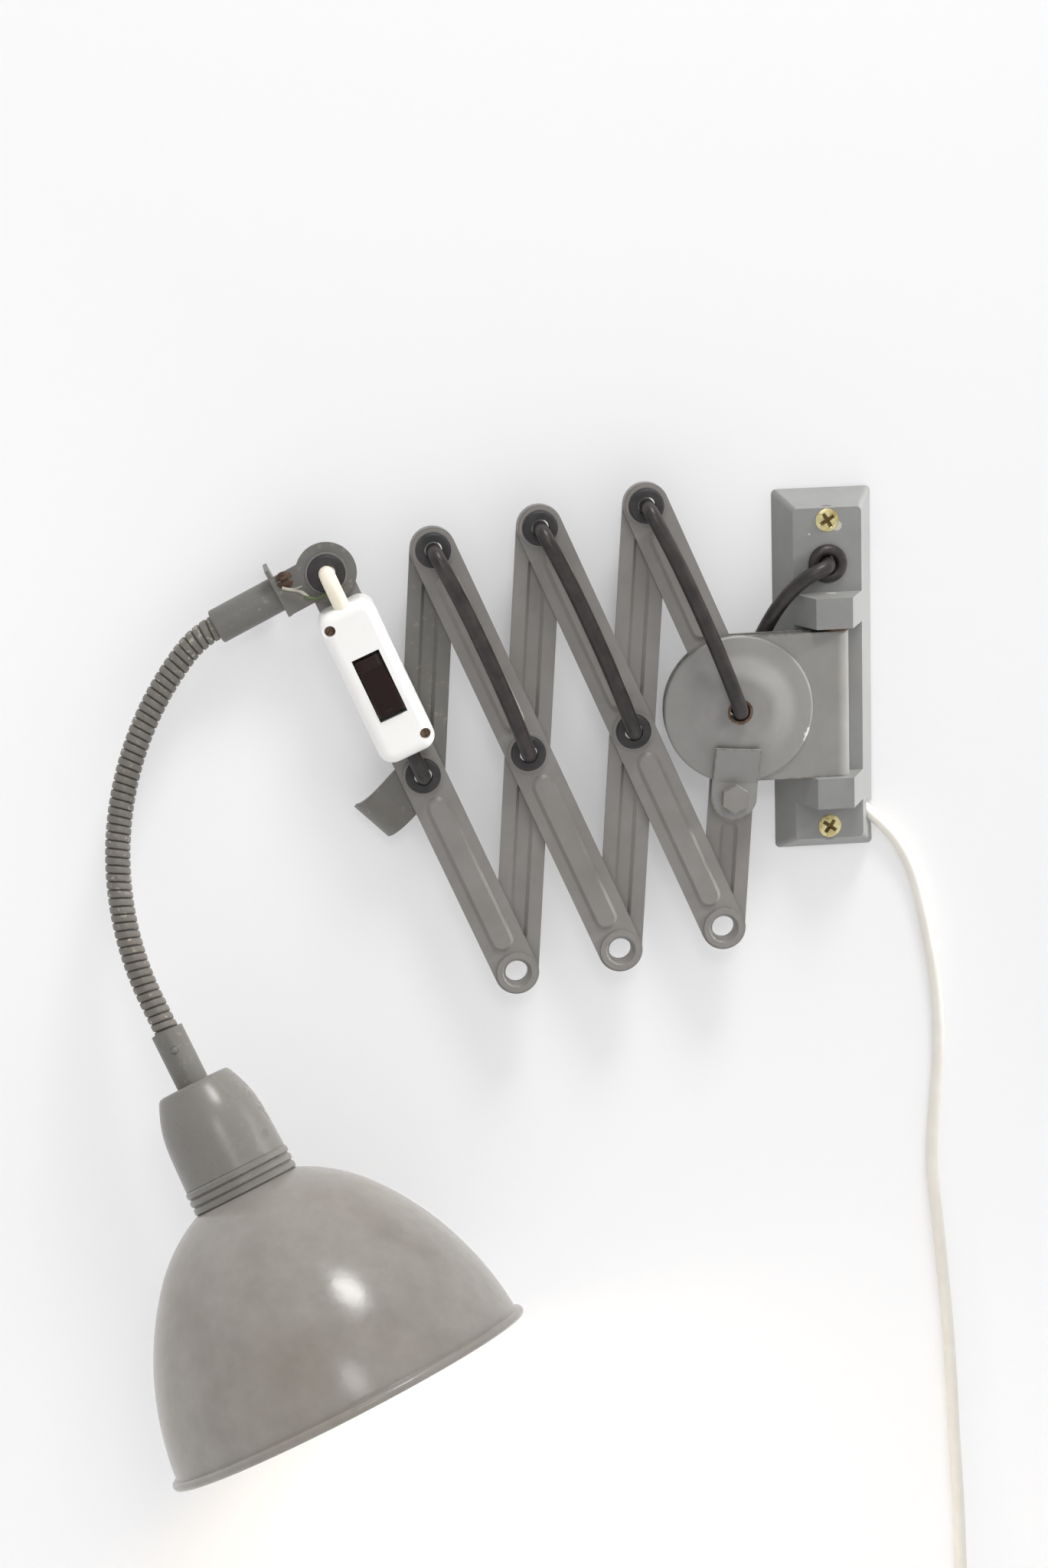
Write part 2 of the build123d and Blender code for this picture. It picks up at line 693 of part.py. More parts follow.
def switch_rocker():
    """Rocker with a faint valley across its middle, swung to one of its two stops."""
    top = switch_out + rocker_stand - rocker_pivot_out
    width = window_width - 2 * rocker_gap
    profile = make_face(Polyline((-rocker_r, -switch_wall), (rocker_r, -switch_wall), (rocker_r, top),
                                 (0, top - rocker_stand), (-rocker_r, top), close=True))
    profile &= Circle(rocker_r)
    rocker = extrude(Plane.XZ * profile, width / 2, both=True)
    rocker += Rot(90, 0, 0) * Cylinder(rocker_pin_r, 2 * cheek_out - running)
    return Pos(rocker_at, 0, rocker_pivot_out) * Rot(0, rocker_tilt, 0) * rocker


save("switch_base", last_plane * switch_base())
save("switch_cover", last_plane * switch_cover())
save("switch_rocker", last_plane * switch_rocker())
boot_points = [(switch_end - inside_switch, 0, boot_out), (half_link, 0, boot_out),
               (half_link, 0, neck_plate_low)]
save("switch_boot", last_plane * tube(boot_points, boot_r, lead_bend))

# Neck bracket
heading = radians(neck_heading)
neck_dir = Vector(-cos(heading), 0, -sin(heading))
neck_point = upper_row[stages]
neck_plane = on_wall(neck_point, neck_dir)


def neck_bracket():
    """Ring and arm of sheet, with an end flange turned back to carry the sleeve."""
    sketch = Circle(neck_ring_r) + Pos(neck_flange_at / 2, 0) * Rectangle(neck_flange_at, neck_arm_width)
    body = Pos(0, 0, neck_plate_low) * extrude(sketch, neck_sheet)
    flange = Pos(neck_flange_at, (neck_flange_down - neck_flange_up) / 2, neck_plate_high) * Box(
        neck_sheet, neck_flange_up + neck_flange_down, neck_plate_high - neck_flange_in,
        align=(Align.MAX, Align.CENTER, Align.MAX))
    body += flange
    body -= disc_between(pivot_hole_r, 0, lug_out)
    return body - Pos(neck_flange_at, 0, neck_out) * Rot(0, 90, 0) * Cylinder(pivot_bore_r, 4 * neck_sheet)


def neck_eyelet():
    """Hollow pivot that holds the bracket on the last link."""
    body = disc_between(pivot_r, neck_eyelet_low - pivot_flange, neck_eyelet_high)
    body += disc_between(pivot_flange_r, neck_plate_high, neck_eyelet_high)
    body += disc_between(pivot_flange_r, neck_eyelet_low - pivot_flange, neck_eyelet_low)
    return body - disc_between(pivot_bore_r, 0, lug_out)


def along_neck(radius, start, end):
    """A round slug along the sleeve axis, measured from the pivot."""
    return Pos(start, 0, neck_out) * Rot(0, 90, 0) * extrude(Circle(radius), end - start)


def neck_sleeve():
    """Socket that grips the upper end of the gooseneck."""
    sleeve = along_neck(sleeve_r, neck_flange_at, sleeve_end)
    sleeve = fillet(sleeve.edges().group_by(Axis.X)[-1], 1.0)
    sleeve -= along_neck(pivot_bore_r, neck_flange_at, sleeve_end)
    return sleeve - along_neck(neck_r + running, sleeve_end - sleeve_grip, sleeve_end)


save("neck_bracket", neck_plane * neck_bracket())
save("neck_eyelet", neck_plane * neck_eyelet())
save("neck_grommet", neck_plane * pivot_grommet(neck_grommet_r, neck_eyelet_high))
save("neck_sleeve", neck_plane * neck_sleeve())
neck_lead_points = [(0, 0, neck_plate_low), (0, 0, neck_out), (sleeve_end - sleeve_grip, 0, neck_out)]
save("neck_lead", neck_plane * tube(neck_lead_points, lead_r, lead_bend))

# Gooseneck: heading turns in one plane, through two arcs and a straight end
lean = radians(neck_lean)
neck_side = Vector(sin(heading) * cos(lean), -sin(lean), -cos(heading) * cos(lean))
neck_normal = neck_dir.cross(neck_side)
neck_start = out(neck_point.X, neck_out, neck_point.Z) + neck_dir * sleeve_end
first_length = neck_first_r * radians(neck_first_turn)
second_length = neck_second_r * radians(neck_second_turn)
neck_length = first_length + second_length + neck_straight


def in_neck(forward, sideways):
    return neck_dir * forward + neck_side * sideways


def bent(start_turn, turn, radius):
    """How far an arc of the neck carries, from one heading to another."""
    return in_neck(radius * (sin(turn) - sin(start_turn)), radius * (cos(start_turn) - cos(turn)))


def neck_at(length):
    """Centre and heading of the gooseneck at this length from the sleeve's mouth."""
    turn_one = radians(neck_first_turn)
    turn_two = turn_one + radians(neck_second_turn)
    if length <= 0:
        return neck_start + neck_dir * length, neck_dir
    if length <= first_length:
        turn = length / neck_first_r
        return neck_start + bent(0, turn, neck_first_r), in_neck(cos(turn), sin(turn))
    knee = neck_start + bent(0, turn_one, neck_first_r)
    if length <= first_length + second_length:
        turn = turn_one + (length - first_length) / neck_second_r
        return knee + bent(turn_one, turn, neck_second_r), in_neck(cos(turn), sin(turn))
    heading_out = in_neck(cos(turn_two), sin(turn_two))
    rest = length - first_length - second_length
    return knee + bent(turn_one, turn_two, neck_second_r) + heading_out * rest, heading_out


def neck_plane_at(length):
    centre, direction = neck_at(length)
    return Plane(origin=centre, x_dir=neck_normal, z_dir=direction)


def gooseneck(start, end):
    """A stretch of ribbed hose: four rings for each rib, and a bore."""
    ribs = round((end - start) / neck_pitch)
    pitch = (end - start) / ribs
    rings = []
    for rib in range(ribs):
        low = start + rib * pitch
        rings.append((low, neck_valley_r))
        rings.append((low + neck_slope, neck_r))
        rings.append((low + pitch - neck_valley - neck_slope, neck_r))
        rings.append((low + pitch - neck_valley, neck_valley_r))
    rings.append((end, neck_valley_r))
    hose = loft([neck_plane_at(place) * Circle(radius) for place, radius in rings], ruled=True)
    marks = sorted({start, end} | {mark for mark in (0, first_length, first_length + second_length)
                                   if start < mark < end})
    runs = []
    for low, high in zip(marks, marks[1:]):
        points = [neck_at(low)[0], neck_at((low + high) / 2)[0], neck_at(high)[0]]
        straight = low < 0 or low >= first_length + second_length
        runs.append(Line(points[0], points[2]) if straight else ThreePointArc(*points))
    bore = sweep(neck_plane_at(start) * Circle(neck_bore_r), path=Wire(runs))
    return hose - bore


neck_split = neck_length / 2
save("gooseneck_upper", gooseneck(-sleeve_grip, neck_split))
save("gooseneck_lower", gooseneck(neck_split, neck_length + ferrule_grip))

# Lamp head, turned about its own axis
head_plane = neck_plane_at(neck_length)
cap_at = ferrule_length
ring_at = cap_at + cap_length
shade_at = ring_at + ring_height
holder_end = shade_at + holder_below
nipple_start = ferrule_grip + clear
holder_shoulder = cap_at + cap_shoulder_at
bulb_start = holder_end - bulb_shell - 1.0


def turned(line):
    """A solid of revolution from a half profile: X is radius, Y is distance along the axis."""
    return revolve(Plane.XZ * make_face(line), Axis.Z)


def along_head(radius, start, end):
    return Pos(0, 0, start) * extrude(Circle(radius), end - start)


def neck_ferrule():
    body = along_head(ferrule_r, 0, ferrule_length) - along_head(neck_r + running, 0, ferrule_grip)
    body -= along_head(nipple_r + running, 0, ferrule_length)
    screw_hole = Rot(0, 90, 0) * extrude(Circle(ferrule_screw_r), 2 * ferrule_r)
    return body - Pos(0, 0, ferrule_screw_at) * screw_hole


def socket_cap():
    """Cap with a sloping shoulder, open below."""
    shoulder = cap_at + cap_shoulder_at
    end = cap_at + cap_length
    profile = make_face(Polyline(
        (nipple_r + running, cap_at), (cap_top_r, cap_at), (cap_shoulder_r, shoulder), (cap_r, end),
        (cap_r - cap_wall, end), (cap_shoulder_r - cap_wall, shoulder + cap_wall / 2),
        (cap_top_r - cap_wall, cap_at + cap_wall), (nipple_r + running, cap_at + cap_wall), close=True))
    shoulders = [v for v in profile.vertices() if abs(v.Y - shoulder) < cap_wall and v.X > cap_top_r]
    profile = fillet(shoulders, cap_round)
    rim = [v for v in profile.vertices() if abs(v.Y - cap_at) < 0.01 and v.X > nipple_r + 1]
    profile = fillet(rim, 1.0)
    return revolve(Plane.XZ * profile, Axis.Z)


def shade_ring():
    """Threaded ring with three ridges that clamps the shade."""
    step = ring_height / ring_grooves
    outline = [(holder_r + running, ring_at)]
    for groove in range(ring_grooves):
        low = ring_at + groove * step
        outline += [(ring_r - ring_groove, low), (ring_r, low + 0.3 * step), (ring_r, low + 0.8 * step)]
    outline += [(ring_r - ring_groove, shade_at), (holder_r + running, shade_at)]
    return turned(Polyline(*outline, close=True))


def lamp_holder():
    """Screw lamp holder hung from a hollow nipple, its flange under the shade."""
    body = along_head(nipple_r, nipple_start, holder_shoulder)
    body += along_head(holder_r, holder_shoulder, holder_end)
    flange_at = shade_at + shade_sheet + running
    body += along_head(holder_flange_r, flange_at, flange_at + holder_flange)
    body -= along_head(nipple_bore_r, 0, holder_end)
    return body - along_head(holder_bore_r, bulb_start - 1.0, holder_end)


def bulb_form(inset):
    """The turned form of the bulb, drawn in by a wall thickness."""
    shell_r = bulb_shell_r - inset
    globe_r = bulb_r - inset
    start = bulb_start + inset
    tip = bulb_start + bulb_length - inset
    centre = bulb_start + bulb_length - bulb_r
    join = (globe_r * cos(radians(bulb_join)), centre - globe_r * sin(radians(bulb_join)))
    shell_end = bulb_start + bulb_shell
    line = Polyline((0, tip), (0, start), (0.4 * shell_r, start), (shell_r, start + 0.1 * bulb_shell),
                    (shell_r, shell_end))
    neck = ((shell_r + join[0]) / 2 - bulb_neck_dip, (shell_end + join[1]) / 2)
    line += ThreePointArc((shell_r, shell_end), neck, join)
    line += ThreePointArc(join, (globe_r, centre), (0, tip))
    return turned(line)


def bulb():
    """Screw bulb: threaded shell and pear-shaped glass, hollow, with its sealing hole at the contact."""
    seal = along_head(bulb_seal_r, bulb_start, bulb_start + 2 * bulb_glass)
    return bulb_form(0) - bulb_form(bulb_glass) - seal


def shade():
    """Spun dome with a rolled rim: the curve is a chain of tangent arcs through the knots."""
    knots = [(r, shade_at + depth) for r, depth in shade_knots]
    angles = [radians(shade_start_angle)]
    for (r0, h0), (r1, h1) in zip(knots, knots[1:]):
        angles.append(2 * atan2(h1 - h0, r1 - r0) - angles[-1])
    inner = [(r - shade_sheet * sin(a), h + shade_sheet * cos(a)) for (r, h), a in zip(knots, angles)]

    def chain(points):
        arcs = []
        for index in range(len(points) - 1):
            tangent = (cos(angles[index]), sin(angles[index]))
            arcs.append(TangentArc(points[index], points[index + 1], tangent=tangent))
        return arcs

    hole = holder_r + running
    line = Curve() + chain(knots) + chain(inner)
    line += Line(knots[-1], inner[-1])
    line += Polyline(knots[0], (hole, knots[0][1]), (hole, knots[0][1] + shade_sheet),
                     (inner[0][0] - shade_sheet, knots[0][1] + shade_sheet), inner[0])
    dome = turned(line)
    rim_r = knots[-1][0] - shade_sheet / 2 + shade_bead_r - shade_sheet
    bead = Plane.XZ * (Pos(rim_r, knots[-1][1] + shade_bead_r - shade_sheet) * Circle(shade_bead_r))
    return dome + revolve(bead, Axis.Z)


save("neck_ferrule", head_plane * neck_ferrule())
save("socket_cap", head_plane * socket_cap())
save("shade_ring", head_plane * shade_ring())
save("lamp_holder", head_plane * lamp_holder())
save("bulb", head_plane * bulb())
save("shade", head_plane * shade())

# Wall lead: out of the plate, behind the bracket and into the hollow axle
wall_lead_points = [out(*point) for point in wall_lead_route]
wall_lead_points += [out(arm_x, lead_axle, arm_z), out(arm_x, arm_out, arm_z)]
wall_lead_bends = largest_bends(wall_lead_points)
wall_lead_bends[0] = lead_bend
wall_lead_bends[-1] = lead_bend
save("wall_lead", tube(wall_lead_points, lead_r, wall_lead_bends))

# Terminal block inside the plate
terminal_out = plate_depth - plate_wall - terminal_size[1] / 2
cord_points = [out(*point) for point in cord_route]
cord_entry = Plane(origin=cord_points[0], z_dir=cord_points[1] - cord_points[0])
terminal = Pos(out(0, terminal_out, terminal_z)) * Box(*terminal_size)
terminal -= cord_entry * extrude(Circle(cord_r + running), terminal_size[0])
save("terminal_block", terminal)

# Mains cord down the wall
cord_bends = largest_bends(cord_points)
cord = tube(cord_points, cord_r, cord_bends)
cord_length = FilletPolyline(*cord_points, radius=cord_bends).length
print("cord bend radii", [round(bend, 1) for bend in cord_bends])
print("cord volume", round(cord.volume), "section times length", round(pi * cord_r ** 2 * cord_length))
save("mains_cord", cord)

# Coil of spare cord: two layers of half turns, in along the first and out along the second
coil_front = coil_out + coil_pitch
coil_level = coil_z - 2 * cord_r
coil_runs = [Line(cord_points[-1], out(cord_points[-1].X, coil_out, coil_level))]
inward = [coil_across - turn * coil_pitch for turn in range(coil_half_turns_each_layer)]
climb_across = inward[-1] - coil_pitch
half_turns = [(across, coil_out) for across in inward]
half_turns += [(climb_across, coil_front)]
half_turns += [(across, coil_front) for across in reversed(inward)]
x_now = cord_points[-1].X
out_now = coil_out
for number, (across, out_next) in enumerate(half_turns):
    step = across if number % 2 == 0 else -across
    rise = -1 if number % 2 == 0 else 1
    radius = hypot(across, out_next - out_now) / 2
    middle = out(x_now + step / 2, (out_now + out_next) / 2, coil_level + rise * radius)
    turn_end = out(x_now + step, out_next, coil_level)
    coil_runs.append(ThreePointArc(out(x_now, out_now, coil_level), middle, turn_end))
    x_now += step
    out_now = out_next
plug_z = coil_level + plug_tail
coil_runs.append(Line(out(x_now, coil_front, coil_level), out(x_now, coil_front, plug_z)))
coil_path = Wire(coil_runs)
coil = sweep(Plane(origin=coil_path @ 0, z_dir=coil_path % 0) * Circle(cord_r), path=coil_path)
save("mains_cord_coil", coil)


def least_gap(path, diameter):
    """The smallest space between two turns of a cord, measured on points along it."""
    count = ceil(path.length / (0.5 * diameter))
    points = [path @ (index / count) for index in range(count + 1)]
    places = [(point.X, point.Y, point.Z) for point in points]
    apart = ceil(4 * diameter / (path.length / count))
    pairs = [(i, j) for i in range(count) for j in range(i + apart, count + 1)]
    return min(dist(places[i], places[j]) for i, j in pairs) - diameter


print("coil least gap", round(least_gap(coil_path, 2 * cord_r), 2), "coil length", round(coil_path.length))
print("cord length in all", round(cord_length + coil_path.length))


def coil_tie():
    """Band round the left side of the coil."""
    low_x = cord_points[-1].X - cord_r - 2 * clear
    bundle = (coil_half_turns_each_layer + 1) * coil_pitch / 2
    high_x = cord_points[-1].X + bundle + cord_r + 3 * clear
    size = (high_x - low_x, coil_front - coil_out + 2 * cord_r + 2 * clear)
    hole = RectangleRounded(*size, cord_r)
    band = RectangleRounded(size[0] + 2 * tie_sheet, size[1] + 2 * tie_sheet, cord_r + tie_sheet) - hole
    centre = Pos((low_x + high_x) / 2, (coil_out + coil_front) / 2)
    return plan(coil_level + tie_width / 2) * centre * extrude(band, tie_width)


def plug_body():
    """Flat two-pin plug with waisted sides and a tapered cord end."""
    half = make_face(Polyline(
        (0, 0), (0.3 * plug_width, 0), (0.5 * plug_width, 0.35 * plug_length),
        (0.42 * plug_width, 0.65 * plug_length), (0.5 * plug_width, plug_length), (0, plug_length),
        close=True))
    body = extrude(half + mirror(half, Plane.YZ), plug_thick / 2, both=True)
    return fillet(body.edges().group_by(Axis.Z)[-1] + body.edges().group_by(Axis.Z)[0], plug_edge)


plug_face = Plane(origin=out(x_now, coil_front, plug_z), x_dir=(1, 0, 0), z_dir=(0, -1, 0))
save("coil_tie", coil_tie())
save("plug_body", plug_face * plug_body())
pin = extrude(Circle(plug_pin_r), plug_pin_length)
pin = Rot(-90, 0, 0) * fillet(pin.edges().group_by(Axis.Z)[-1], 0.4 * plug_pin_r)
pins = Pos(plug_pin_spacing / 2, plug_length, 0) * pin + Pos(-plug_pin_spacing / 2, plug_length, 0) * pin
save("plug_pins", plug_face * pins)
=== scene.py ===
from math import atan2, cos, hypot, pi, radians, sin

import bpy
import numpy as np
from mathutils import Matrix, Vector


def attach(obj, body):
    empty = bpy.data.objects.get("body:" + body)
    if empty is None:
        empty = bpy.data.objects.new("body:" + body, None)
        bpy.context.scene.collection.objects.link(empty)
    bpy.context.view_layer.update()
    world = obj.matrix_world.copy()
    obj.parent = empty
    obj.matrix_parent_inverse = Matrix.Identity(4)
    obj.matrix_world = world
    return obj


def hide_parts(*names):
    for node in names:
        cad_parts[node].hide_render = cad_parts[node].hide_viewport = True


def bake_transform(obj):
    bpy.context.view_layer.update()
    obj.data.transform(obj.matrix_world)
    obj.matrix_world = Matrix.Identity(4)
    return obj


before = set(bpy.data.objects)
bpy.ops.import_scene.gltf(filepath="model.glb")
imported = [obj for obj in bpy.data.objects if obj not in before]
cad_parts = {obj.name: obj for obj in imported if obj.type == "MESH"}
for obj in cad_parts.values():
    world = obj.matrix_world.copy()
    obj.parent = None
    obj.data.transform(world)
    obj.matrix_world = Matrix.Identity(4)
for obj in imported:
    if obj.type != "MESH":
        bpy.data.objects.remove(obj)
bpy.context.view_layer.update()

# Camera: a long lens from above and to the left, tipped down and a little rolled.
# The frame is 1369 by 2048 with the focal length counted on its height.
camera_data = bpy.data.cameras.new("camera")
camera_data.sensor_fit = "VERTICAL"
camera_data.sensor_height = 36.0
camera_data.lens = 84.375
camera_data.clip_end = 20.0
camera = bpy.data.objects.new("camera", camera_data)
bpy.context.collection.objects.link(camera)
yaw = Matrix.Rotation(radians(-6.05), 4, "Z")
pitch = Matrix.Rotation(radians(-13.03), 4, "X")
roll = Matrix.Rotation(radians(1.63), 4, "Y")
look_level = Matrix.Rotation(radians(90), 4, "X")
camera.matrix_world = Matrix.Translation((-0.275, -1.438, 0.293)) @ yaw @ pitch @ roll @ look_level
bpy.context.scene.camera = camera
bpy.context.scene.view_settings.view_transform = "Standard"


# Wall, floor and light: a pale plastered wall behind the lamp, a pale floor far below it, and soft
# daylight from above and from the room, with a low beam from the right that falls on the lamp alone.
# The plaster also glows a little, most at the lower left: painted light that pales the shadows on the
# wall. None of it belongs to the lamp.
def linear(hex_colour):
    """An sRGB hex colour as linear red, green, blue and full alpha."""
    value = np.array([int(hex_colour[i:i + 2], 16) for i in (1, 3, 5)]) / 255
    value = np.where(value <= 0.04045, value / 12.92, ((value + 0.055) / 1.055) ** 2.4)
    return (*value, 1.0)


def add(material, kind, sets=None, links=None, **settings):
    """One shader node: its settings, the values of its sockets, and the outputs that feed it."""
    made = material.node_tree.nodes.new(kind)
    for key, value in settings.items():
        setattr(made, key, value)
    for key, value in (sets or {}).items():
        made.inputs[key].default_value = value
    for key, source in (links or {}).items():
        material.node_tree.links.new(source, made.inputs[key])
    return made


def empty_material(name):
    """A material with nothing in it but its output."""
    material = bpy.data.materials.new(name)
    material.use_nodes = True
    material.node_tree.nodes.clear()
    return material, add(material, "ShaderNodeOutputMaterial")


def grid_piece(name, points, material, close_u=False, close_v=False, cap_start=False, cap_end=False):
    """A surface from an array of points, rows by columns: quads join neighbours.

    close_v joins the last column to the first, close_u the last row to the first, and a cap fills
    the first or last row with a fan about its mean.
    """
    rows, columns = points.shape[:2]
    index = np.arange(rows * columns).reshape(rows, columns)
    if close_u:
        index = np.vstack([index, index[:1]])
    if close_v:
        index = np.hstack([index, index[:, :1]])
    quads = np.stack([index[:-1, :-1], index[:-1, 1:], index[1:, 1:], index[1:, :-1]], -1).reshape(-1, 4)
    vertices = points.reshape(-1, 3)
    faces = quads.tolist()
    for wanted, row, flip in ((cap_start, 0, True), (cap_end, rows - 1, False)):
        if wanted:
            vertices = np.vstack([vertices, points[row].mean(0)])
            ring = np.append(np.arange(columns), 0) + row * columns
            centre = np.full(columns, len(vertices) - 1)
            fan = np.stack([ring[:-1], ring[1:], centre], -1)
            faces += (fan[:, ::-1] if flip else fan).tolist()
    mesh = bpy.data.meshes.new(name)
    mesh.from_pydata(vertices.tolist(), [], faces)
    mesh.polygons.foreach_set("use_smooth", np.ones(len(faces), dtype=bool))
    mesh.materials.append(material)
    piece = bpy.data.objects.new(name, mesh)
    bpy.context.collection.objects.link(piece)
    return piece


plaster, plaster_out = empty_material("pale_plaster")
plaster_place = add(plaster, "ShaderNodeTexCoord")
plaster_grain = add(plaster, "ShaderNodeTexNoise", {"Scale": 160.0, "Detail": 4.0},
                    {"Vector": plaster_place.outputs["Object"]})
plaster_bump = add(plaster, "ShaderNodeBump", {"Strength": 0.05, "Distance": 0.001},
                   {"Height": plaster_grain.outputs["Fac"]})
plaster_face = add(plaster, "ShaderNodeBsdfDiffuse", {"Color": linear("#e2e2e2")},
                   {"Normal": plaster_bump.outputs["Normal"]})
# Painted light: the plaster glows with a strength of 0.27 at the lower left, falling to 0.20 towards the
# upper right, which pales the shadows on the wall.
plaster_far = add(plaster, "ShaderNodeVectorMath", {1: (0.9, 0.0, 1.1)}, {0: plaster_place.outputs["Object"]},
                  operation="DOT_PRODUCT")
plaster_glow = add(plaster, "ShaderNodeMapRange", {"From Min": -0.40, "From Max": -0.04, "To Min": 0.27,
                   "To Max": 0.20}, {"Value": plaster_far.outputs["Value"]})
plaster_painted_light = add(plaster, "ShaderNodeEmission", {"Color": linear("#fdfdff")},
                   {"Strength": plaster_glow.outputs["Result"]})
plaster_lit = add(plaster, "ShaderNodeAddShader", None, {0: plaster_face.outputs["BSDF"],
                  1: plaster_painted_light.outputs["Emission"]})
plaster_clear = add(plaster, "ShaderNodeBsdfTransparent")
plaster_side = add(plaster, "ShaderNodeNewGeometry")
plaster_mix = add(plaster, "ShaderNodeMixShader", None, {0: plaster_side.outputs["Backfacing"],
                  1: plaster_lit.outputs["Shader"], 2: plaster_clear.outputs["BSDF"]})
plaster.node_tree.links.new(plaster_mix.outputs["Shader"], plaster_out.inputs["Surface"])

wall_x, wall_z = np.meshgrid([-3.0, 3.0], [-2.2, 2.4])
wall_points = np.stack([wall_x, np.full_like(wall_x, 0.0004), wall_z], -1)
room_wall = grid_piece("room_wall", wall_points, plaster)
floor_x, floor_y = np.meshgrid([-3.0, 3.0], [-4.0, 0.0])
floor_points = np.stack([floor_x, floor_y, np.full_like(floor_x, -1.1)], -1)
room_floor = grid_piece("room_floor", floor_points, plaster)

world = bpy.data.worlds.new("daylight")
world.use_nodes = True
world.node_tree.nodes["Background"].inputs["Color"].default_value = linear("#fbfbfc")
world.node_tree.nodes["Background"].inputs["Strength"].default_value = 0.66
bpy.context.scene.world = world


def soft_light(name, place, aim, width, height, power, spread=180.0):
    """An oval lamp at a place, turned to face a point, with its beam held to an angle."""
    lamp = bpy.data.lights.new(name, "AREA")
    lamp.shape = "ELLIPSE"
    lamp.size = width
    lamp.size_y = height
    lamp.energy = power
    lamp.spread = radians(spread)
    holder = bpy.data.objects.new(name, lamp)
    bpy.context.collection.objects.link(holder)
    away = Vector(place) - Vector(aim)
    holder.matrix_world = Matrix.Translation(place) @ away.to_track_quat("Z", "Y").to_matrix().to_4x4()
    return holder


soft_light("roof_window", (0.17, -0.88, 1.84), (-0.15, -0.05, -0.1), 0.62, 0.52, 16.0)
soft_light("room", (-0.17, -2.0, 0.96), (-0.12, 0.0, -0.1), 0.5, 0.4, 4.0)
side_window = soft_light("side_window", (0.8, -0.09, 0.40), (0.035, -0.005, 0.01), 0.12, 0.3, 0.22, 17.0)
side_window.visible_glossy = False
unlit_room = bpy.data.collections.new("unlit_room")
unlit_room.objects.link(room_wall)
unlit_room.objects.link(room_floor)
for entry in unlit_room.collection_objects:
    entry.light_linking.link_state = "EXCLUDE"
side_window.light_linking.receiver_collection = unlit_room


# Mains cord: white PVC flex, 5 mm thick and about 1.9 m long, hanging loose on the wall. It leaves
# the plate at its lower right, runs down the wall, and its spare length is wound in a tied coil
# with a moulded plug beside it, below the picture.
def cord_plastic(name, colour, shade_colour, roughness, ior=1.52):
    """Extruded PVC: an even colour with faint grubby patches about 15 mm long."""
    material, output = empty_material(name)
    place = add(material, "ShaderNodeTexCoord")
    patches = add(material, "ShaderNodeTexNoise", {"Scale": 65.0, "Detail": 3.0, "Roughness": 0.6},
                  {"Vector": place.outputs["Object"]})
    tint = add(material, "ShaderNodeMix", {"A": linear(colour), "B": linear(shade_colour)},
               {"Factor": patches.outputs["Fac"]}, data_type="RGBA")
    ripple = add(material, "ShaderNodeTexNoise", {"Scale": 900.0, "Detail": 2.0},
                 {"Vector": place.outputs["Object"]})
    bump = add(material, "ShaderNodeBump", {"Strength": 0.06, "Distance": 0.0004},
               {"Height": ripple.outputs["Fac"]})
    skin = add(material, "ShaderNodeBsdfPrincipled", {"Roughness": roughness, "IOR": ior},
               {"Base Color": tint.outputs["Result"], "Normal": bump.outputs["Normal"]})
    material.node_tree.links.new(skin.outputs["BSDF"], output.inputs["Surface"])
    return material


white_pvc = cord_plastic("white_pvc_flex", "#f2efe8", "#ded8cb", 0.36)
cord_out = 3.4
coil_out = 4.8
coil_pitch = 5.7
coil_top = -585.0
cord_route = [(8.0, 5.2, -51.6), (24.0, 4.2, -63.6), (36.0, cord_out, -83.0), (41.5, cord_out, -108.0),
              (46.0, cord_out, -134.0), (47.2, cord_out, -160.0), (45.0, cord_out, -188.0),
              (43.4, cord_out, -212.0), (46.4, cord_out, -238.0), (49.0, cord_out, -266.0),
              (51.8, cord_out, -300.0), (53.2, cord_out, -334.0), (55.4, cord_out, -368.0),
              (56.2, 3.8, -398.0), (57.0, coil_out, -426.0), (57.0, coil_out, coil_top)]
coil_across = [75.0 - coil_pitch * turn for turn in range(7)]
half_turns = [(across, coil_out) for across in coil_across]
half_turns += [(coil_across[-1] - coil_pitch, coil_out + coil_pitch)]
half_turns += [(across, coil_out + coil_pitch) for across in reversed(coil_across)]
coil_level = coil_top - 5.0
coil_x, coil_y = 57.0, coil_out
coil_points = []
for turn, (across, next_out) in enumerate(half_turns):
    side = 1 if turn % 2 == 0 else -1
    angles = np.arange(0.5, 7) / 7 * pi
    reach = across / 2 / cos(pi / 14) ** 0.5
    xs = coil_x + side * (across / 2 - reach * np.cos(angles))
    zs = coil_level - side * reach * np.sin(angles)
    outs = coil_y + (next_out - coil_y) * (1 - np.cos(angles)) / 2
    coil_points.append(np.stack([xs, outs, zs], -1))
    coil_x += side * across
    coil_y = next_out
plug_z = coil_level + 22.0
coil_end = np.array([(coil_x, coil_y, coil_level + 8.0), (coil_x, coil_y, plug_z)])
cord_points = np.vstack([np.array(cord_route)] + coil_points + [coil_end]) * (0.001, -0.001, 0.001)

cord_curve = bpy.data.curves.new("mains_flex", "CURVE")
cord_curve.dimensions = "3D"
cord_curve.bevel_depth = 0.0025
cord_curve.bevel_resolution = 6
cord_curve.resolution_u = 6
cord_curve.use_fill_caps = True
cord_spline = cord_curve.splines.new("NURBS")
cord_spline.points.add(len(cord_points) - 1)
cord_spline.points.foreach_set("co", np.hstack([cord_points, np.ones((len(cord_points), 1))]).ravel())
cord_spline.order_u = 3
cord_spline.use_endpoint_u = True
cord_curve.materials.append(white_pvc)
mains_flex = bpy.data.objects.new("mains_flex", cord_curve)
bpy.context.collection.objects.link(mains_flex)
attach(mains_flex, "wall")
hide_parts("mains_cord", "mains_cord_coil")


def dress(material, *names):
    """Gives carried-over nodes their finish."""
    for name in names:
        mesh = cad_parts[name].data
        mesh.materials.clear()
        mesh.materials.append(material)


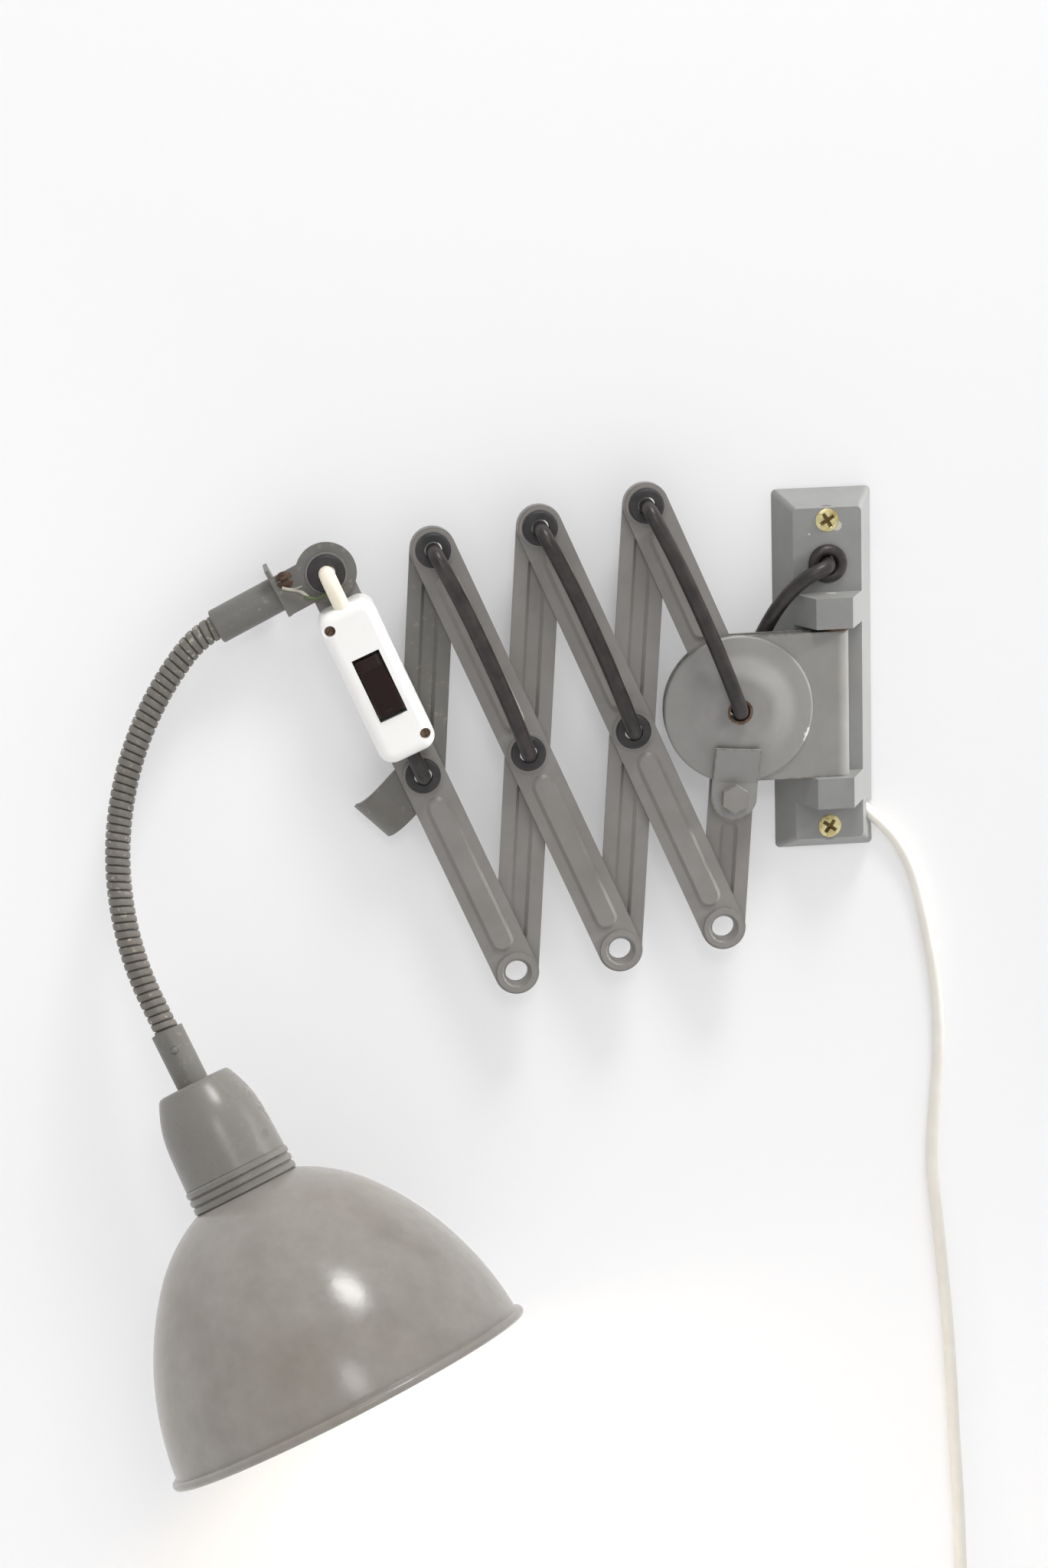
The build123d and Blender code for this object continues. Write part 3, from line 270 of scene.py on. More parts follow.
dress(white_pvc, "plug_body", "coil_tie", "terminal_block")


# Wall plate: a cast box with bevelled edges and two hinge lugs, screwed to the wall, brushed over
# with grey machine enamel that has dulled, stained brown and worn through along its edges.
def grey_enamel(name, tone, stain, worn, wear, gloss, blotch=0.12, specks=0.0, groove=False,
                rub=0.0007, spots=()):
    """Old oil enamel on steel: mottling 12 mm wide, brown stains 50 mm wide, brush-fine orange
    peel, bare rusty metal where an edge has rubbed, pale scuffs, painted shade darkening the grooves,
    and single spots (place, reach, colour) where it has chipped."""
    material, output = empty_material(name)
    place = add(material, "ShaderNodeTexCoord")
    mottle = add(material, "ShaderNodeTexNoise", {"Scale": 85.0, "Detail": 5.0, "Roughness": 0.62},
                 {"Vector": place.outputs["Object"]})
    cloud = add(material, "ShaderNodeTexNoise", {"Scale": 20.0, "Detail": 4.0, "Roughness": 0.55},
                {"Vector": place.outputs["Object"]})
    grit = add(material, "ShaderNodeTexNoise", {"Scale": 420.0, "Detail": 3.0, "Roughness": 0.6},
               {"Vector": place.outputs["Object"]})
    light_dark = add(material, "ShaderNodeMapRange", {"From Min": 0.3, "From Max": 0.7, "To Min": 1 - blotch,
                     "To Max": 1 + blotch}, {"Value": mottle.outputs["Fac"]})
    shaded = add(material, "ShaderNodeVectorMath", {0: linear(tone)[:3]},
                 {"Scale": light_dark.outputs["Result"]}, operation="SCALE")
    stain_share = add(material, "ShaderNodeMapRange", {"From Min": 0.5, "From Max": 0.72, "To Min": 0.0,
                      "To Max": 4 * blotch}, {"Value": cloud.outputs["Fac"]})
    stained = add(material, "ShaderNodeMix", {"B": linear(stain)}, {"Factor": stain_share.outputs["Result"],
                  "A": shaded.outputs["Vector"]}, data_type="RGBA")
    rounded = add(material, "ShaderNodeBevel", {"Radius": rub}, samples=6)
    facing = add(material, "ShaderNodeNewGeometry")
    turn = add(material, "ShaderNodeVectorMath", None, {0: rounded.outputs["Normal"],
               1: facing.outputs["Normal"]}, operation="DOT_PRODUCT")
    edge = add(material, "ShaderNodeMapRange", {"From Min": 0.985, "From Max": 0.88, "To Min": 0.0,
               "To Max": 1.0}, {"Value": turn.outputs["Value"]})
    rubbed = add(material, "ShaderNodeMapRange", {"From Min": 0.42, "From Max": 0.62, "To Min": 0.0,
                 "To Max": wear}, {"Value": grit.outputs["Fac"]})
    bare = add(material, "ShaderNodeMath", None, {0: edge.outputs["Result"], 1: rubbed.outputs["Result"]},
               operation="MULTIPLY")
    colour = add(material, "ShaderNodeMix", {"B": linear(worn)}, {"Factor": bare.outputs["Value"],
                 "A": stained.outputs["Result"]}, data_type="RGBA")
    scuffed = add(material, "ShaderNodeMapRange", {"From Min": 0.60, "From Max": 0.68, "To Min": 0.0,
                  "To Max": specks}, {"Value": grit.outputs["Fac"]})
    colour = add(material, "ShaderNodeMix", {"B": linear("#b8b1a6")}, {"Factor": scuffed.outputs["Result"],
                 "A": colour.outputs["Result"]}, data_type="RGBA")
    # Painted shade: where the groove attribute is set, the colour darkens towards a near-black brown.
    if groove:
        dirt_and_shade = add(material, "ShaderNodeAttribute", attribute_name="groove")
        colour = add(material, "ShaderNodeMix", {"B": linear("#2b2723")}, {"Factor": dirt_and_shade.outputs["Fac"],
                     "A": colour.outputs["Result"]}, data_type="RGBA")
    for spot, reach, spot_colour in spots:
        away = add(material, "ShaderNodeVectorMath", {1: spot}, {0: place.outputs["Object"]},
                   operation="DISTANCE")
        ragged = add(material, "ShaderNodeMath", {1: reach, 2: -0.5 * reach}, {0: grit.outputs["Fac"]},
                     operation="MULTIPLY_ADD")
        nearer = add(material, "ShaderNodeMath", None, {0: away.outputs["Value"], 1: ragged.outputs["Value"]},
                     operation="ADD")
        chip = add(material, "ShaderNodeMapRange", {"From Min": reach, "From Max": 0.85 * reach,
                   "To Min": 0.0, "To Max": 0.9}, {"Value": nearer.outputs["Value"]})
        colour = add(material, "ShaderNodeMix", {"B": linear(spot_colour)}, {"Factor": chip.outputs["Result"],
                     "A": colour.outputs["Result"]}, data_type="RGBA")
    dull = add(material, "ShaderNodeMapRange", {"From Min": 0.25, "From Max": 0.75,
               "To Min": gloss - 0.5 * blotch, "To Max": gloss + 0.8 * blotch},
               {"Value": mottle.outputs["Fac"]})
    peel = add(material, "ShaderNodeBump", {"Strength": 0.7 * blotch, "Distance": 0.0005},
               {"Height": grit.outputs["Fac"]})
    coat = add(material, "ShaderNodeBsdfPrincipled", {"IOR": 1.5}, {"Base Color": colour.outputs["Result"],
               "Roughness": dull.outputs["Result"], "Normal": peel.outputs["Normal"]})
    material.node_tree.links.new(coat.outputs["BSDF"], output.inputs["Surface"])
    return material


plate_chips = [((0.0040, -0.0135, 0.0602), 0.0022, "#bfbab1"),
               ((-0.0072, -0.0135, 0.0572), 0.0006, "#b5afa6"),
               ((0.0095, -0.0135, -0.0705), 0.0012, "#dedad2"),
               ((0.001, -0.0160, 0.0337), 0.0022, "#b9b3a9")]
plate_enamel = grey_enamel("plate_enamel", "#868684", "#75706a", "#9a938a", 0.5, 0.36, 0.07,
                           spots=plate_chips)
dress(plate_enamel, "wall_plate")


# Wall screws: two countersunk steel screws, yellow passivated, with a cross recess, driven through
# the plate into the wall.
def turned_points(profile, origin, axis, start, sides):
    """A profile of (radius, height) pairs carried once round an axis: rows follow the profile."""
    axis = np.array(axis, float) / np.linalg.norm(axis)
    start = np.array(start, float) - axis * np.dot(start, axis)
    start /= np.linalg.norm(start)
    side = np.cross(axis, start)
    angle = np.arange(sides) * 2 * pi / sides
    spoke = np.cos(angle)[:, None] * start + np.sin(angle)[:, None] * side
    profile = np.array(profile, float)
    return np.array(origin) + profile[:, :1, None] * spoke[None] + profile[:, 1:, None] * axis


def worn_metal(name, colour, dirt_and_shade, roughness, metallic):
    """Plated or bare steel, handled and dusty: dark dirt in patches 4 mm wide."""
    material, output = empty_material(name)
    place = add(material, "ShaderNodeTexCoord")
    patches = add(material, "ShaderNodeTexNoise", {"Scale": 260.0, "Detail": 5.0, "Roughness": 0.65},
                  {"Vector": place.outputs["Object"]})
    share = add(material, "ShaderNodeMapRange", {"From Min": 0.42, "From Max": 0.68, "To Min": 0.0,
                "To Max": 1.0}, {"Value": patches.outputs["Fac"]})
    tint = add(material, "ShaderNodeMix", {"A": linear(colour), "B": linear(dirt_and_shade)},
               {"Factor": share.outputs["Result"]}, data_type="RGBA")
    rough = add(material, "ShaderNodeMapRange", {"To Min": roughness - 0.08, "To Max": roughness + 0.2},
                {"Value": share.outputs["Result"]})
    bump = add(material, "ShaderNodeBump", {"Strength": 0.15, "Distance": 0.0003},
               {"Height": patches.outputs["Fac"]})
    skin = add(material, "ShaderNodeBsdfPrincipled", {"Metallic": metallic},
               {"Base Color": tint.outputs["Result"], "Roughness": rough.outputs["Result"],
                "Normal": bump.outputs["Normal"]})
    material.node_tree.links.new(skin.outputs["BSDF"], output.inputs["Surface"])
    return material


yellow_zinc = worn_metal("yellow_zinc_plate", "#ddd3a0", "#a3925c", 0.34, 0.6)
# The recess finish is a dark brown: painted shade in the cross recesses of the screw heads.
painted_recess_shade = worn_metal("painted_recess_shade", "#6b5527", "#45351a", 0.6, 0.2)


def cross_recess(points, centre, axis, turn, reach, width, depth):
    """Sinks the points of a screw head along its axis inside two crossed slots, and tells which."""
    axis = np.array(axis, float)
    along = np.array([cos(turn), 0.0, sin(turn)])
    across = np.cross(axis, along)
    offset = points - np.array(centre)
    first, second = offset @ along, offset @ across
    slot = np.minimum(np.maximum(np.abs(first) / reach, np.abs(second) / width),
                      np.maximum(np.abs(second) / reach, np.abs(first) / width))
    sink = np.clip((1.15 - slot) / 0.3, 0, 1)
    depth_now = depth * sink * np.clip(1.2 - np.hypot(first, second) / reach, 0.35, 1)
    return points - axis * depth_now[..., None], sink > 0.3


screw_sides = 72
for number, (screw_z, screw_turn) in enumerate(((0.0625, 0.5), (-0.0625, 0.9)), 1):
    radii = np.linspace(4.6, 0.12, 34)
    dome = 13.5 + 0.75 * (1 - (radii / 4.75) ** 2) ** 0.8
    profile = np.vstack([[(2.3, 10.6), (4.55, 13.2), (4.7, 13.45)], np.stack([radii, dome], -1)]) / 1000
    head = turned_points(profile, (0, 0, screw_z), (0, -1, 0), (1, 0, 0), screw_sides)
    head, sunk = cross_recess(head, (0, -0.0142, screw_z), (0, -1, 0), screw_turn, 0.0030, 0.0007, 0.0014)
    screw = grid_piece(f"wall_screw_{number}", head, yellow_zinc, close_v=True, cap_start=True, cap_end=True)
    screw.data.materials.append(painted_recess_shade)
    # Faces sunk in the cross recess take the dark finish: painted shade.
    recess_shaded_faces = np.concatenate([(sunk[1:] & sunk[:-1]).ravel(), np.zeros(screw_sides, bool),
                            np.ones(screw_sides, bool)])
    screw.data.polygons.foreach_set("material_index", recess_shaded_faces.astype(np.int32))
    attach(screw, "wall")


# Hinge: a steel pin through lugs and barrel, painted over at its ends, with a rusty washer above
# the barrel.
rusty_steel = worn_metal("rusty_steel", "#7a6552", "#4a3426", 0.55, 0.6)
dress(rusty_steel, "hinge_washer", "hinge_bush", "tilt_axle")
dress(plate_enamel, "hinge_pin")


# Swivel bracket and friction disc: steel sheet folded round the hinge, and a pressed cap spot
# welded to its front leaf, in the same enamel, worn brown round the rim.
rim_chips = [((-0.0106, -0.0256, -0.0195), 0.0011, "#d2cec7"),
             ((-0.0113, -0.0256, -0.0213), 0.0013, "#d2cec7"),
             ((-0.0121, -0.0256, -0.0232), 0.0010, "#c4bfb7")]
bracket_enamel = grey_enamel("bracket_enamel", "#898885", "#776f67", "#5e4a3a", 0.8, 0.34, 0.07,
                             rub=0.0014, spots=rim_chips)
dress(bracket_enamel, "swivel_bracket", "friction_disc", "clamp_strap")

# Links, clamp and rivets: strips pressed from sheet with a raised channel, riveted on hollow
# eyelets, then painted together, so that rivets and bolt are grey as well.
arm_enamel = grey_enamel("arm_enamel", "#85827e", "#746b63", "#6a5b4e", 0.45, 0.38, 0.07)
dress(arm_enamel, "lower_half_link", "clamp_bolt", "clamp_spacer", "clamp_nut",
      "upper_half_link", "front_link_1", "front_link_2", "front_link_3", "rear_link_1", "rear_link_2",
      "upper_half_rivet", "front_link_1_rivets", "front_link_2_rivets",
      "front_link_3_rivets", "neck_eyelet")


# Rubber: moulded grommets in the pivots, gone grey with dust, and the round black lead that is
# threaded through them, polished along its back by handling.
def black_rubber(name, colour, dust, dust_share, roughness):
    """Moulded rubber: nearly black, with grey dust in patches 6 mm wide and a fine skin."""
    material, output = empty_material(name)
    place = add(material, "ShaderNodeTexCoord")
    patches = add(material, "ShaderNodeTexNoise", {"Scale": 150.0, "Detail": 5.0, "Roughness": 0.6},
                  {"Vector": place.outputs["Object"]})
    share = add(material, "ShaderNodeMapRange", {"From Min": 0.4, "From Max": 0.75, "To Min": 0.0,
                "To Max": dust_share}, {"Value": patches.outputs["Fac"]})
    tint = add(material, "ShaderNodeMix", {"A": linear(colour), "B": linear(dust)},
               {"Factor": share.outputs["Result"]}, data_type="RGBA")
    rough = add(material, "ShaderNodeMapRange", {"To Min": roughness, "To Max": roughness + 0.25},
                {"Value": share.outputs["Result"]})
    grain = add(material, "ShaderNodeTexNoise", {"Scale": 1500.0, "Detail": 2.0},
                {"Vector": place.outputs["Object"]})
    bump = add(material, "ShaderNodeBump", {"Strength": 0.12, "Distance": 0.0003},
               {"Height": grain.outputs["Fac"]})
    skin = add(material, "ShaderNodeBsdfPrincipled", {"IOR": 1.52},
               {"Base Color": tint.outputs["Result"], "Roughness": rough.outputs["Result"],
                "Normal": bump.outputs["Normal"]})
    material.node_tree.links.new(skin.outputs["BSDF"], output.inputs["Surface"])
    return material


grommet_rubber = black_rubber("grommet_rubber", "#232122", "#4e4a47", 0.45, 0.50)
lead_rubber = black_rubber("lead_rubber", "#231e1d", "#4d4643", 0.45, 0.32)
dress(grommet_rubber, "upper_half_grommet", "front_link_1_grommets", "front_link_2_grommets",
      "front_link_3_grommet", "neck_grommet")
ring_middle, ring_out, lip_radius = 5.5, 14.5, 2.3
lip_angle = np.linspace(pi, -0.3 * pi, 20)
wall_ring_lip = np.stack([ring_middle + lip_radius * np.cos(lip_angle),
                          ring_out + lip_radius * np.sin(lip_angle)], -1)
wall_ring_points = turned_points(np.vstack([[(3.2, 10.8)], wall_ring_lip, [(5.9, 10.8)]]) / 1000,
                                 (0, 0, 0.0452), (0, -1, 0), (1, 0, 0), 56)
wall_ring = grid_piece("rubber_wall_grommet", wall_ring_points[::-1], lead_rubber, close_u=True, close_v=True)
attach(wall_ring, "wall")
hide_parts("wall_grommet")


def smooth_line(route, steps=12):
    """A clamped cubic B-spline: each point is a weighted mean of four neighbours on the route."""
    route = np.array(route, float)
    route = np.vstack([route[:1], route[:1], route, route[-1:], route[-1:]])
    t = np.arange(steps) / steps
    weights = np.stack([(1 - t) ** 3, 3 * t ** 3 - 6 * t ** 2 + 4,
                        -3 * t ** 3 + 3 * t ** 2 + 3 * t + 1, t ** 3], -1)
    windows = np.stack([route[i:len(route) - 3 + i] for i in range(4)], 1)
    line = np.einsum("sk,wkc->wsc", weights / 6, windows).reshape(-1, 3)
    return np.vstack([line, route[-1:]])


def tube_points(line, radius, reference, sides=24):
    """A circle carried along a line: rows follow the line. The reference keeps it from twisting."""
    tangent = np.gradient(line, axis=0)
    tangent /= np.linalg.norm(tangent, axis=1, keepdims=True)
    first = np.cross(tangent, np.array(reference, float))
    first /= np.linalg.norm(first, axis=1, keepdims=True)
    second = np.cross(tangent, first)
    angle = np.arange(sides) * 2 * pi / sides
    spoke = first[:, None] * np.cos(angle)[None, :, None] + second[:, None] * np.sin(angle)[None, :, None]
    return line[:, None] + spoke * radius


half_link = 90.33
front_lean, rear_lean = radians(22.92), radians(-4.45)
front_dir = np.array([-sin(front_lean), 0.0, cos(front_lean)])
rear_dir = np.array([-sin(rear_lean), 0.0, cos(rear_lean)])
first_pivot = np.array([-38.6, 0.0, -10.05])
middle_pivots = [first_pivot + stage * half_link * (front_dir - rear_dir) for stage in range(4)]


def lead_along(pivot, direction, course):
    """Points (along the link, out from the wall, sideways) as places in metres."""
    course = np.array(course, float)
    sideways = np.cross(direction, (0.0, -1.0, 0.0))
    places = pivot + course[:, :1] * direction + course[:, 2:] * sideways
    places[:, 1] = -course[:, 1]
    return places / 1000


lead_radius = 0.003


def lead_piece(name, body, line, reference):
    """A stretch of lead in place of its plain solid."""
    piece = grid_piece(name, tube_points(line, lead_radius, reference), lead_rubber, close_v=True,
                       cap_start=True, cap_end=True)
    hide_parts(name.replace("rubber_", ""))
    if body:
        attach(piece, body)
    return piece


front_arch = [(0, 20.95, 0), (0, 26.4, 0), (1.0, 31.4, 0), (11, 33.4, 0.6), (30, 34.2, 1.4), (60, 34.2, 1.6),
              (79, 33.4, 0.8), (89.3, 31.4, 0), (half_link, 26.4, 0), (half_link, 20.95, 0)]
disc_arch = [(0, 20.95, 0), (0, 30.6, 0), (1.2, 35.2, 0), (11, 36.8, 0.5), (30, 36.4, 1.4), (60, 34.8, 1.6),
             (79, 33.4, 0.8), (89.3, 31.4, 0), (half_link, 26.4, 0), (half_link, 20.95, 0)]
rear_arch = [(half_link, 20.85, 0), (half_link, 17.4, 0), (89.3, 12.8, 0), (79, 11.4, 0), (45, 10.9, 0),
             (11, 11.4, 0), (1.0, 12.8, 0), (0, 17.4, 0), (0, 20.85, 0)]
front_across = np.cross(front_dir, (0.0, -1.0, 0.0))
rear_across = np.cross(rear_dir, (0.0, -1.0, 0.0))
lead_piece("rubber_front_lead_1", "upper_link",
           smooth_line(lead_along(middle_pivots[0], front_dir, disc_arch)), front_across)
for stage in (1, 2):
    front_line = smooth_line(lead_along(middle_pivots[stage], front_dir, front_arch))
    lead_piece(f"rubber_front_lead_{stage + 1}", f"front_{stage}", front_line, front_across)
for stage in (1, 2, 3):
    rear_line = smooth_line(lead_along(middle_pivots[stage], rear_dir, rear_arch))
    lead_piece(f"rubber_rear_lead_{stage}", f"rear_{stage}", rear_line, rear_across)
switch_arch = [(0, 20.95, 0), (0, 26.0, 0), (0.6, 30.4, 0), (6.5, 31.2, 0), (12, 31.2, 0), (16.5, 31.2, 0)]
lead_piece("rubber_front_lead_4", "front_3",
           smooth_line(lead_along(middle_pivots[3], front_dir, switch_arch)), front_across)
wall_course = np.array([(0, -6, 45.2), (0, -14, 45.2), (-0.4, -20.4, 45.0), (-8, -21.6, 42.4),
                        (-16, -18, 35.6), (-23, -14.6, 25.4), (-29.6, -12.4, 11.5), (-35.4, -11.2, -1.7),
                        (-38.3, -11.5, -8.7), (-38.6, -15, -10.05), (-38.6, -20.85, -10.05)]) / 1000
wall_stretch = lead_piece("rubber_wall_lead", None, smooth_line(wall_course), (0.8, 0.0, -0.6))
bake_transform(wall_stretch)


# Cord switch: a moulded white case with a brown rocker, two sunk screws, and the cream rubber boot
# of the lead that leaves it.
white_abs = cord_plastic("white_abs_case", "#fdfcfa", "#f7f5f1", 0.30)
brown_bakelite = cord_plastic("brown_bakelite", "#26120f", "#1b0d0b", 0.25, 1.33)
cream_rubber = cord_plastic("cream_rubber", "#fbf6e8", "#efe4ca", 0.45)
dress(white_abs, "switch_base", "switch_cover")
dress(brown_bakelite, "lamp_holder")
dress(cream_rubber, "switch_boot")
brown_screw = worn_metal("brown_screw", "#6f5a48", "#3f3129", 0.5, 0.5)


def slot_screw(name, body, centre, radius, rise, turn, material):
    """A screw head facing the room: a low dome with one slot across it."""
    radii = np.linspace(radius, 0.02 * radius, 22)
    dome = rise * (0.4 + 0.6 * (1 - (radii / radius) ** 2))
    profile = np.vstack([[(radius, -rise)], np.stack([radii, dome], -1)])
    head = turned_points(profile, centre, (0, -1, 0), (1, 0, 0), 64)
    offset = head - np.array(centre)
    across = np.abs(offset @ np.array([-sin(turn), 0.0, cos(turn)]))
    top = offset[..., 1] < 0.2 * rise
    head[..., 1] += np.where(top, np.clip((0.17 * radius - across) / (0.05 * radius), 0, 1) * 0.9 * rise, 0)
    piece = grid_piece(name, head, material, close_v=True, cap_start=True, cap_end=True)
    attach(piece, body)


def rocker_points(length, width, tilt):
    """A rounded bar in (along, out, sideways) about its pivot: rows follow its length, a ridge lies at
    a fifth of it and a round dimple at a tenth, and the whole is swung by the tilt."""
    along = np.linspace(-length / 2, length / 2, 110)[:, None]
    angle = np.arange(96)[None] * 2 * pi / 96
    across = width / 2 * np.sign(np.cos(angle)) * np.abs(np.cos(angle)) ** 0.25 + 0 * along
    lift = np.sign(np.sin(angle)) * np.abs(np.sin(angle)) ** 0.25
    top = np.where(along < 0.3 * length, 4.95 - 0.025 * along, 5.25 - 0.16 * (along - 0.3 * length))
    high = np.where(lift > 0, lift * top, 2.0 * lift)
    dimple = np.hypot(along + 0.39 * length, across) / 1.3
    high = high - np.where(lift > 0.5, 0.4 * np.exp(-dimple ** 4), 0)
    swung = np.stack([along * cos(tilt) + high * sin(tilt), high * cos(tilt) - along * sin(tilt)], -1)
    return np.concatenate([swung, across[..., None]], -1)


rocker_length, rocker_width, rocker_tilt = 23.8, 10.9, radians(4.0)
rocker_pivot = (43.27, 33.5, 0.0)
rocker = rocker_points(rocker_length, rocker_width, rocker_tilt) + rocker_pivot
rocker = lead_along(middle_pivots[3], front_dir, rocker.reshape(-1, 3)).reshape(rocker.shape)
rocker_bar = grid_piece("moulded_rocker", rocker[::-1], brown_bakelite, close_v=True,
                        cap_start=True, cap_end=True)
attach(rocker_bar, "rocker")
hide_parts("switch_rocker")

switch_middle = middle_pivots[3] + 44.77 * front_dir
hole_along, hole_aside = 26.37, 8.2
for number, side in ((1, 1), (2, -1)):
    hole = switch_middle + side * (hole_along * front_dir - hole_aside * front_across)
    slot_screw(f"switch_screw_{number}", "front_3", (hole[0] / 1000, -0.0358, hole[2] / 1000), 0.0020, 0.0005,
               0.9 * number, brown_screw)


# Neck bracket: painted sheet ring and arm with an end plate, and the socket of the gooseneck.
# A slotted screw holds the earth wire, whose frayed end hangs loose below it.
neck_enamel = grey_enamel("neck_enamel", "#6f6d68", "#645b52", "#4d4037", 0.8, 0.40, 0.08, 0.18)
dress(neck_enamel, "neck_bracket", "neck_sleeve", "rear_half_link")
slot_screw("neck_screw", "neck", (-0.2167, -0.0247, 0.0504), 0.0034, 0.0011, 0.3, brown_screw)
bare_strand = worn_metal("tinned_strand", "#b9b2a6", "#7d766a", 0.4, 0.6)
green_sleeve = cord_plastic("green_wire_sleeve", "#5c6a46", "#414b33", 0.5)
white_sleeve = cord_plastic("white_wire_sleeve", "#c3bdb1", "#a39c8f", 0.5)
wire_shift = (-1.3, 0, 0.7)
wire_courses = (
    ("earth_wire_white", white_sleeve, 0.00065,
     [(-216.5, 26.4, 47.0), (-213.5, 26.8, 46.2), (-210.6, 27.2, 46.0), (-208.6, 27.2, 45.0),
      (-206.6, 27.0, 43.2)]),
    ("earth_wire_strand", bare_strand, 0.0003,
     [(-213.0, 26.6, 46.6), (-210.5, 28.0, 46.9), (-208.8, 28.4, 47.8)]),
    ("earth_wire_green", green_sleeve, 0.0008,
     [(-208.0, 27.0, 43.6), (-205.8, 27.4, 42.4), (-203.4, 27.8, 42.2), (-201.4, 28.0, 43.0),
      (-200.2, 27.4, 44.0)]))
for name, material, radius, course in wire_courses:
    line = smooth_line((np.array(course) + wire_shift) * (0.001, -0.001, 0.001))
    wire = grid_piece(name, tube_points(line, radius, (0.1, 1.0, 0.2), 12), material, close_v=True,
                      cap_start=True, cap_end=True)
    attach(wire, "neck")
dress(lead_rubber, "neck_lead")


# Gooseneck: a strip of steel wound into a close ribbed hose, about 3.2 mm a turn, painted with the
# rest and scuffed along its crests, its grooves darkened with painted shade. It is bent in one plane
# that leans out from the wall.
hose_enamel = grey_enamel("hose_enamel", "#726e67", "#655c52", "#544a40", 0.4, 0.38, 0.10, 0.6, groove=True)
heading, lean = radians(26.0), radians(17.0)
neck_dir = np.array([-cos(heading), 0.0, -sin(heading)])
neck_side = np.array([sin(heading) * cos(lean), -sin(lean), -cos(heading) * cos(lean)])
neck_normal = np.cross(neck_dir, neck_side)
last_pivot = middle_pivots[3] + half_link * front_dir
neck_start = np.array([last_pivot[0], -15.0, last_pivot[2]]) + 48.5 * neck_dir
first_radius, second_radius, straight_end, grip = 36.8, 129.7, 12.4, 11.0
first_bend, second_bend = first_radius * radians(24.7), second_radius * radians(63.8)
neck_length = first_bend + second_bend + straight_end


def neck_line(lengths):
    """Centres of the hose at these lengths: its heading turns evenly in each of two bends."""
    fine = np.linspace(-grip, neck_length + grip, 4001)
    middle = (fine[1:] + fine[:-1]) / 2
    turn = np.clip(middle, 0, first_bend) / first_radius
    turn += np.clip(middle - first_bend, 0, second_bend) / second_radius
    step = np.cos(turn)[:, None] * neck_dir + np.sin(turn)[:, None] * neck_side
    track = np.vstack([np.zeros(3), np.cumsum(step * np.diff(fine)[:, None], axis=0)])
    track += neck_start - grip * neck_dir
    return np.stack([np.interp(lengths, fine, track[:, axis]) for axis in range(3)], -1)


def hose_piece(name, start, end):
    """A stretch of wound hose: the radius dips at a groove that climbs once a turn."""
    pitch, sides = 3.2, 40
    lengths = np.linspace(start, end, int((end - start) / pitch * 14))
    angle = np.arange(sides) / sides
    phase = (lengths[:, None] / pitch + angle[None]) % 1.0
    groove = np.clip(1 - np.abs(phase - 0.5) / 0.13, 0, 1)
    crown = 0.06 * np.cos(2 * pi * phase)
    radius = (4.92 + crown - 0.85 * groove ** 0.7)[..., None] / 1000
    points = tube_points(neck_line(lengths) / 1000, radius, neck_normal, sides)
    piece = grid_piece(name, points, hose_enamel, close_v=True, cap_start=True, cap_end=True)
    # The groove attribute darkens the grooves in the finish: painted shade between the turns.
    dirt_and_shade = piece.data.attributes.new("groove", "FLOAT", "POINT")
    dirt_and_shade.data.foreach_set("value", np.append(0.85 * np.clip(1.4 * groove, 0, 1).ravel(), [0.0, 0.0]))
    ends = neck_line(np.array([start, end])) / 1000
    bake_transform(piece)
    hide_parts(name.replace("hose", "gooseneck"))


hose_piece("hose_upper", -grip, neck_length / 2)
hose_piece("hose_lower", neck_length / 2, neck_length + grip)


# Lamp head: a turned ferrule with a set screw, a spun cap over the screw lamp holder, and a ring
# with fine ridges that clamps the shade, all in grey enamel.
head_enamel = grey_enamel("head_enamel", "#7d7a75", "#6f665e", "#5a4e43", 0.5, 0.27, 0.035)
dress(head_enamel, "shade_ring")
dress(neck_enamel, "neck_ferrule")
end_turn = radians(88.5)
head_axis = cos(end_turn) * neck_dir + sin(end_turn) * neck_side
head_origin = neck_line(np.array([neck_length]))[0]
cap_curve = smooth_line([(12.0, 23.0, 0), (14.1, 23.0, 0), (15.3, 24.0, 0), (17.2, 28.5, 0), (19.2, 34.0, 0),
                         (20.5, 41.0, 0), (20.9, 50.0, 0), (21.2, 60.0, 0)])[:, :2]
cap_profile = np.vstack([[(5.1, 24.5), (5.1, 23.0)], cap_curve, [(19.7, 60.0), (19.2, 40.0), (13.6, 24.5)]])
cap_points = turned_points(cap_profile / 1000, head_origin / 1000, head_axis, neck_normal, 96)
spun_cap = grid_piece("spun_cap", cap_points, head_enamel, close_u=True, close_v=True)
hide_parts("socket_cap")
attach(spun_cap, "head")
set_screw_profile = np.array([(1.45, 4.6), (1.45, 6.35), (1.25, 6.7), (0.7, 6.9), (0.05, 6.95)])
set_screw_place = (head_origin + 8.4 * head_axis) / 1000
set_screw_points = turned_points(set_screw_profile / 1000, set_screw_place, neck_normal, head_axis, 40)
set_screw = grid_piece("set_screw", set_screw_points, neck_enamel, close_v=True, cap_start=True, cap_end=True)
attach(set_screw, "head")


# Shade: a dome spun from steel sheet with a rolled rim, grey outside and white enamel inside.
# The curve is a chain of three arcs that run into each other without a corner.
white_enamel = cord_plastic("white_enamel", "#f1eee6", "#e3dccf", 0.30)
shade_enamel = grey_enamel("shade_enamel", "#959089", "#7d7166", "#5a4e43", 0.3, 0.20, 0.09)
knots = np.array([(21.4, 70.0), (45.4, 87.8), (64.4, 119.3), (73.5, 158.0)])
slopes = [radians(23.0)]
for (r0, h0), (r1, h1) in zip(knots, knots[1:]):
    slopes.append(2 * atan2(h1 - h0, r1 - r0) - slopes[-1])


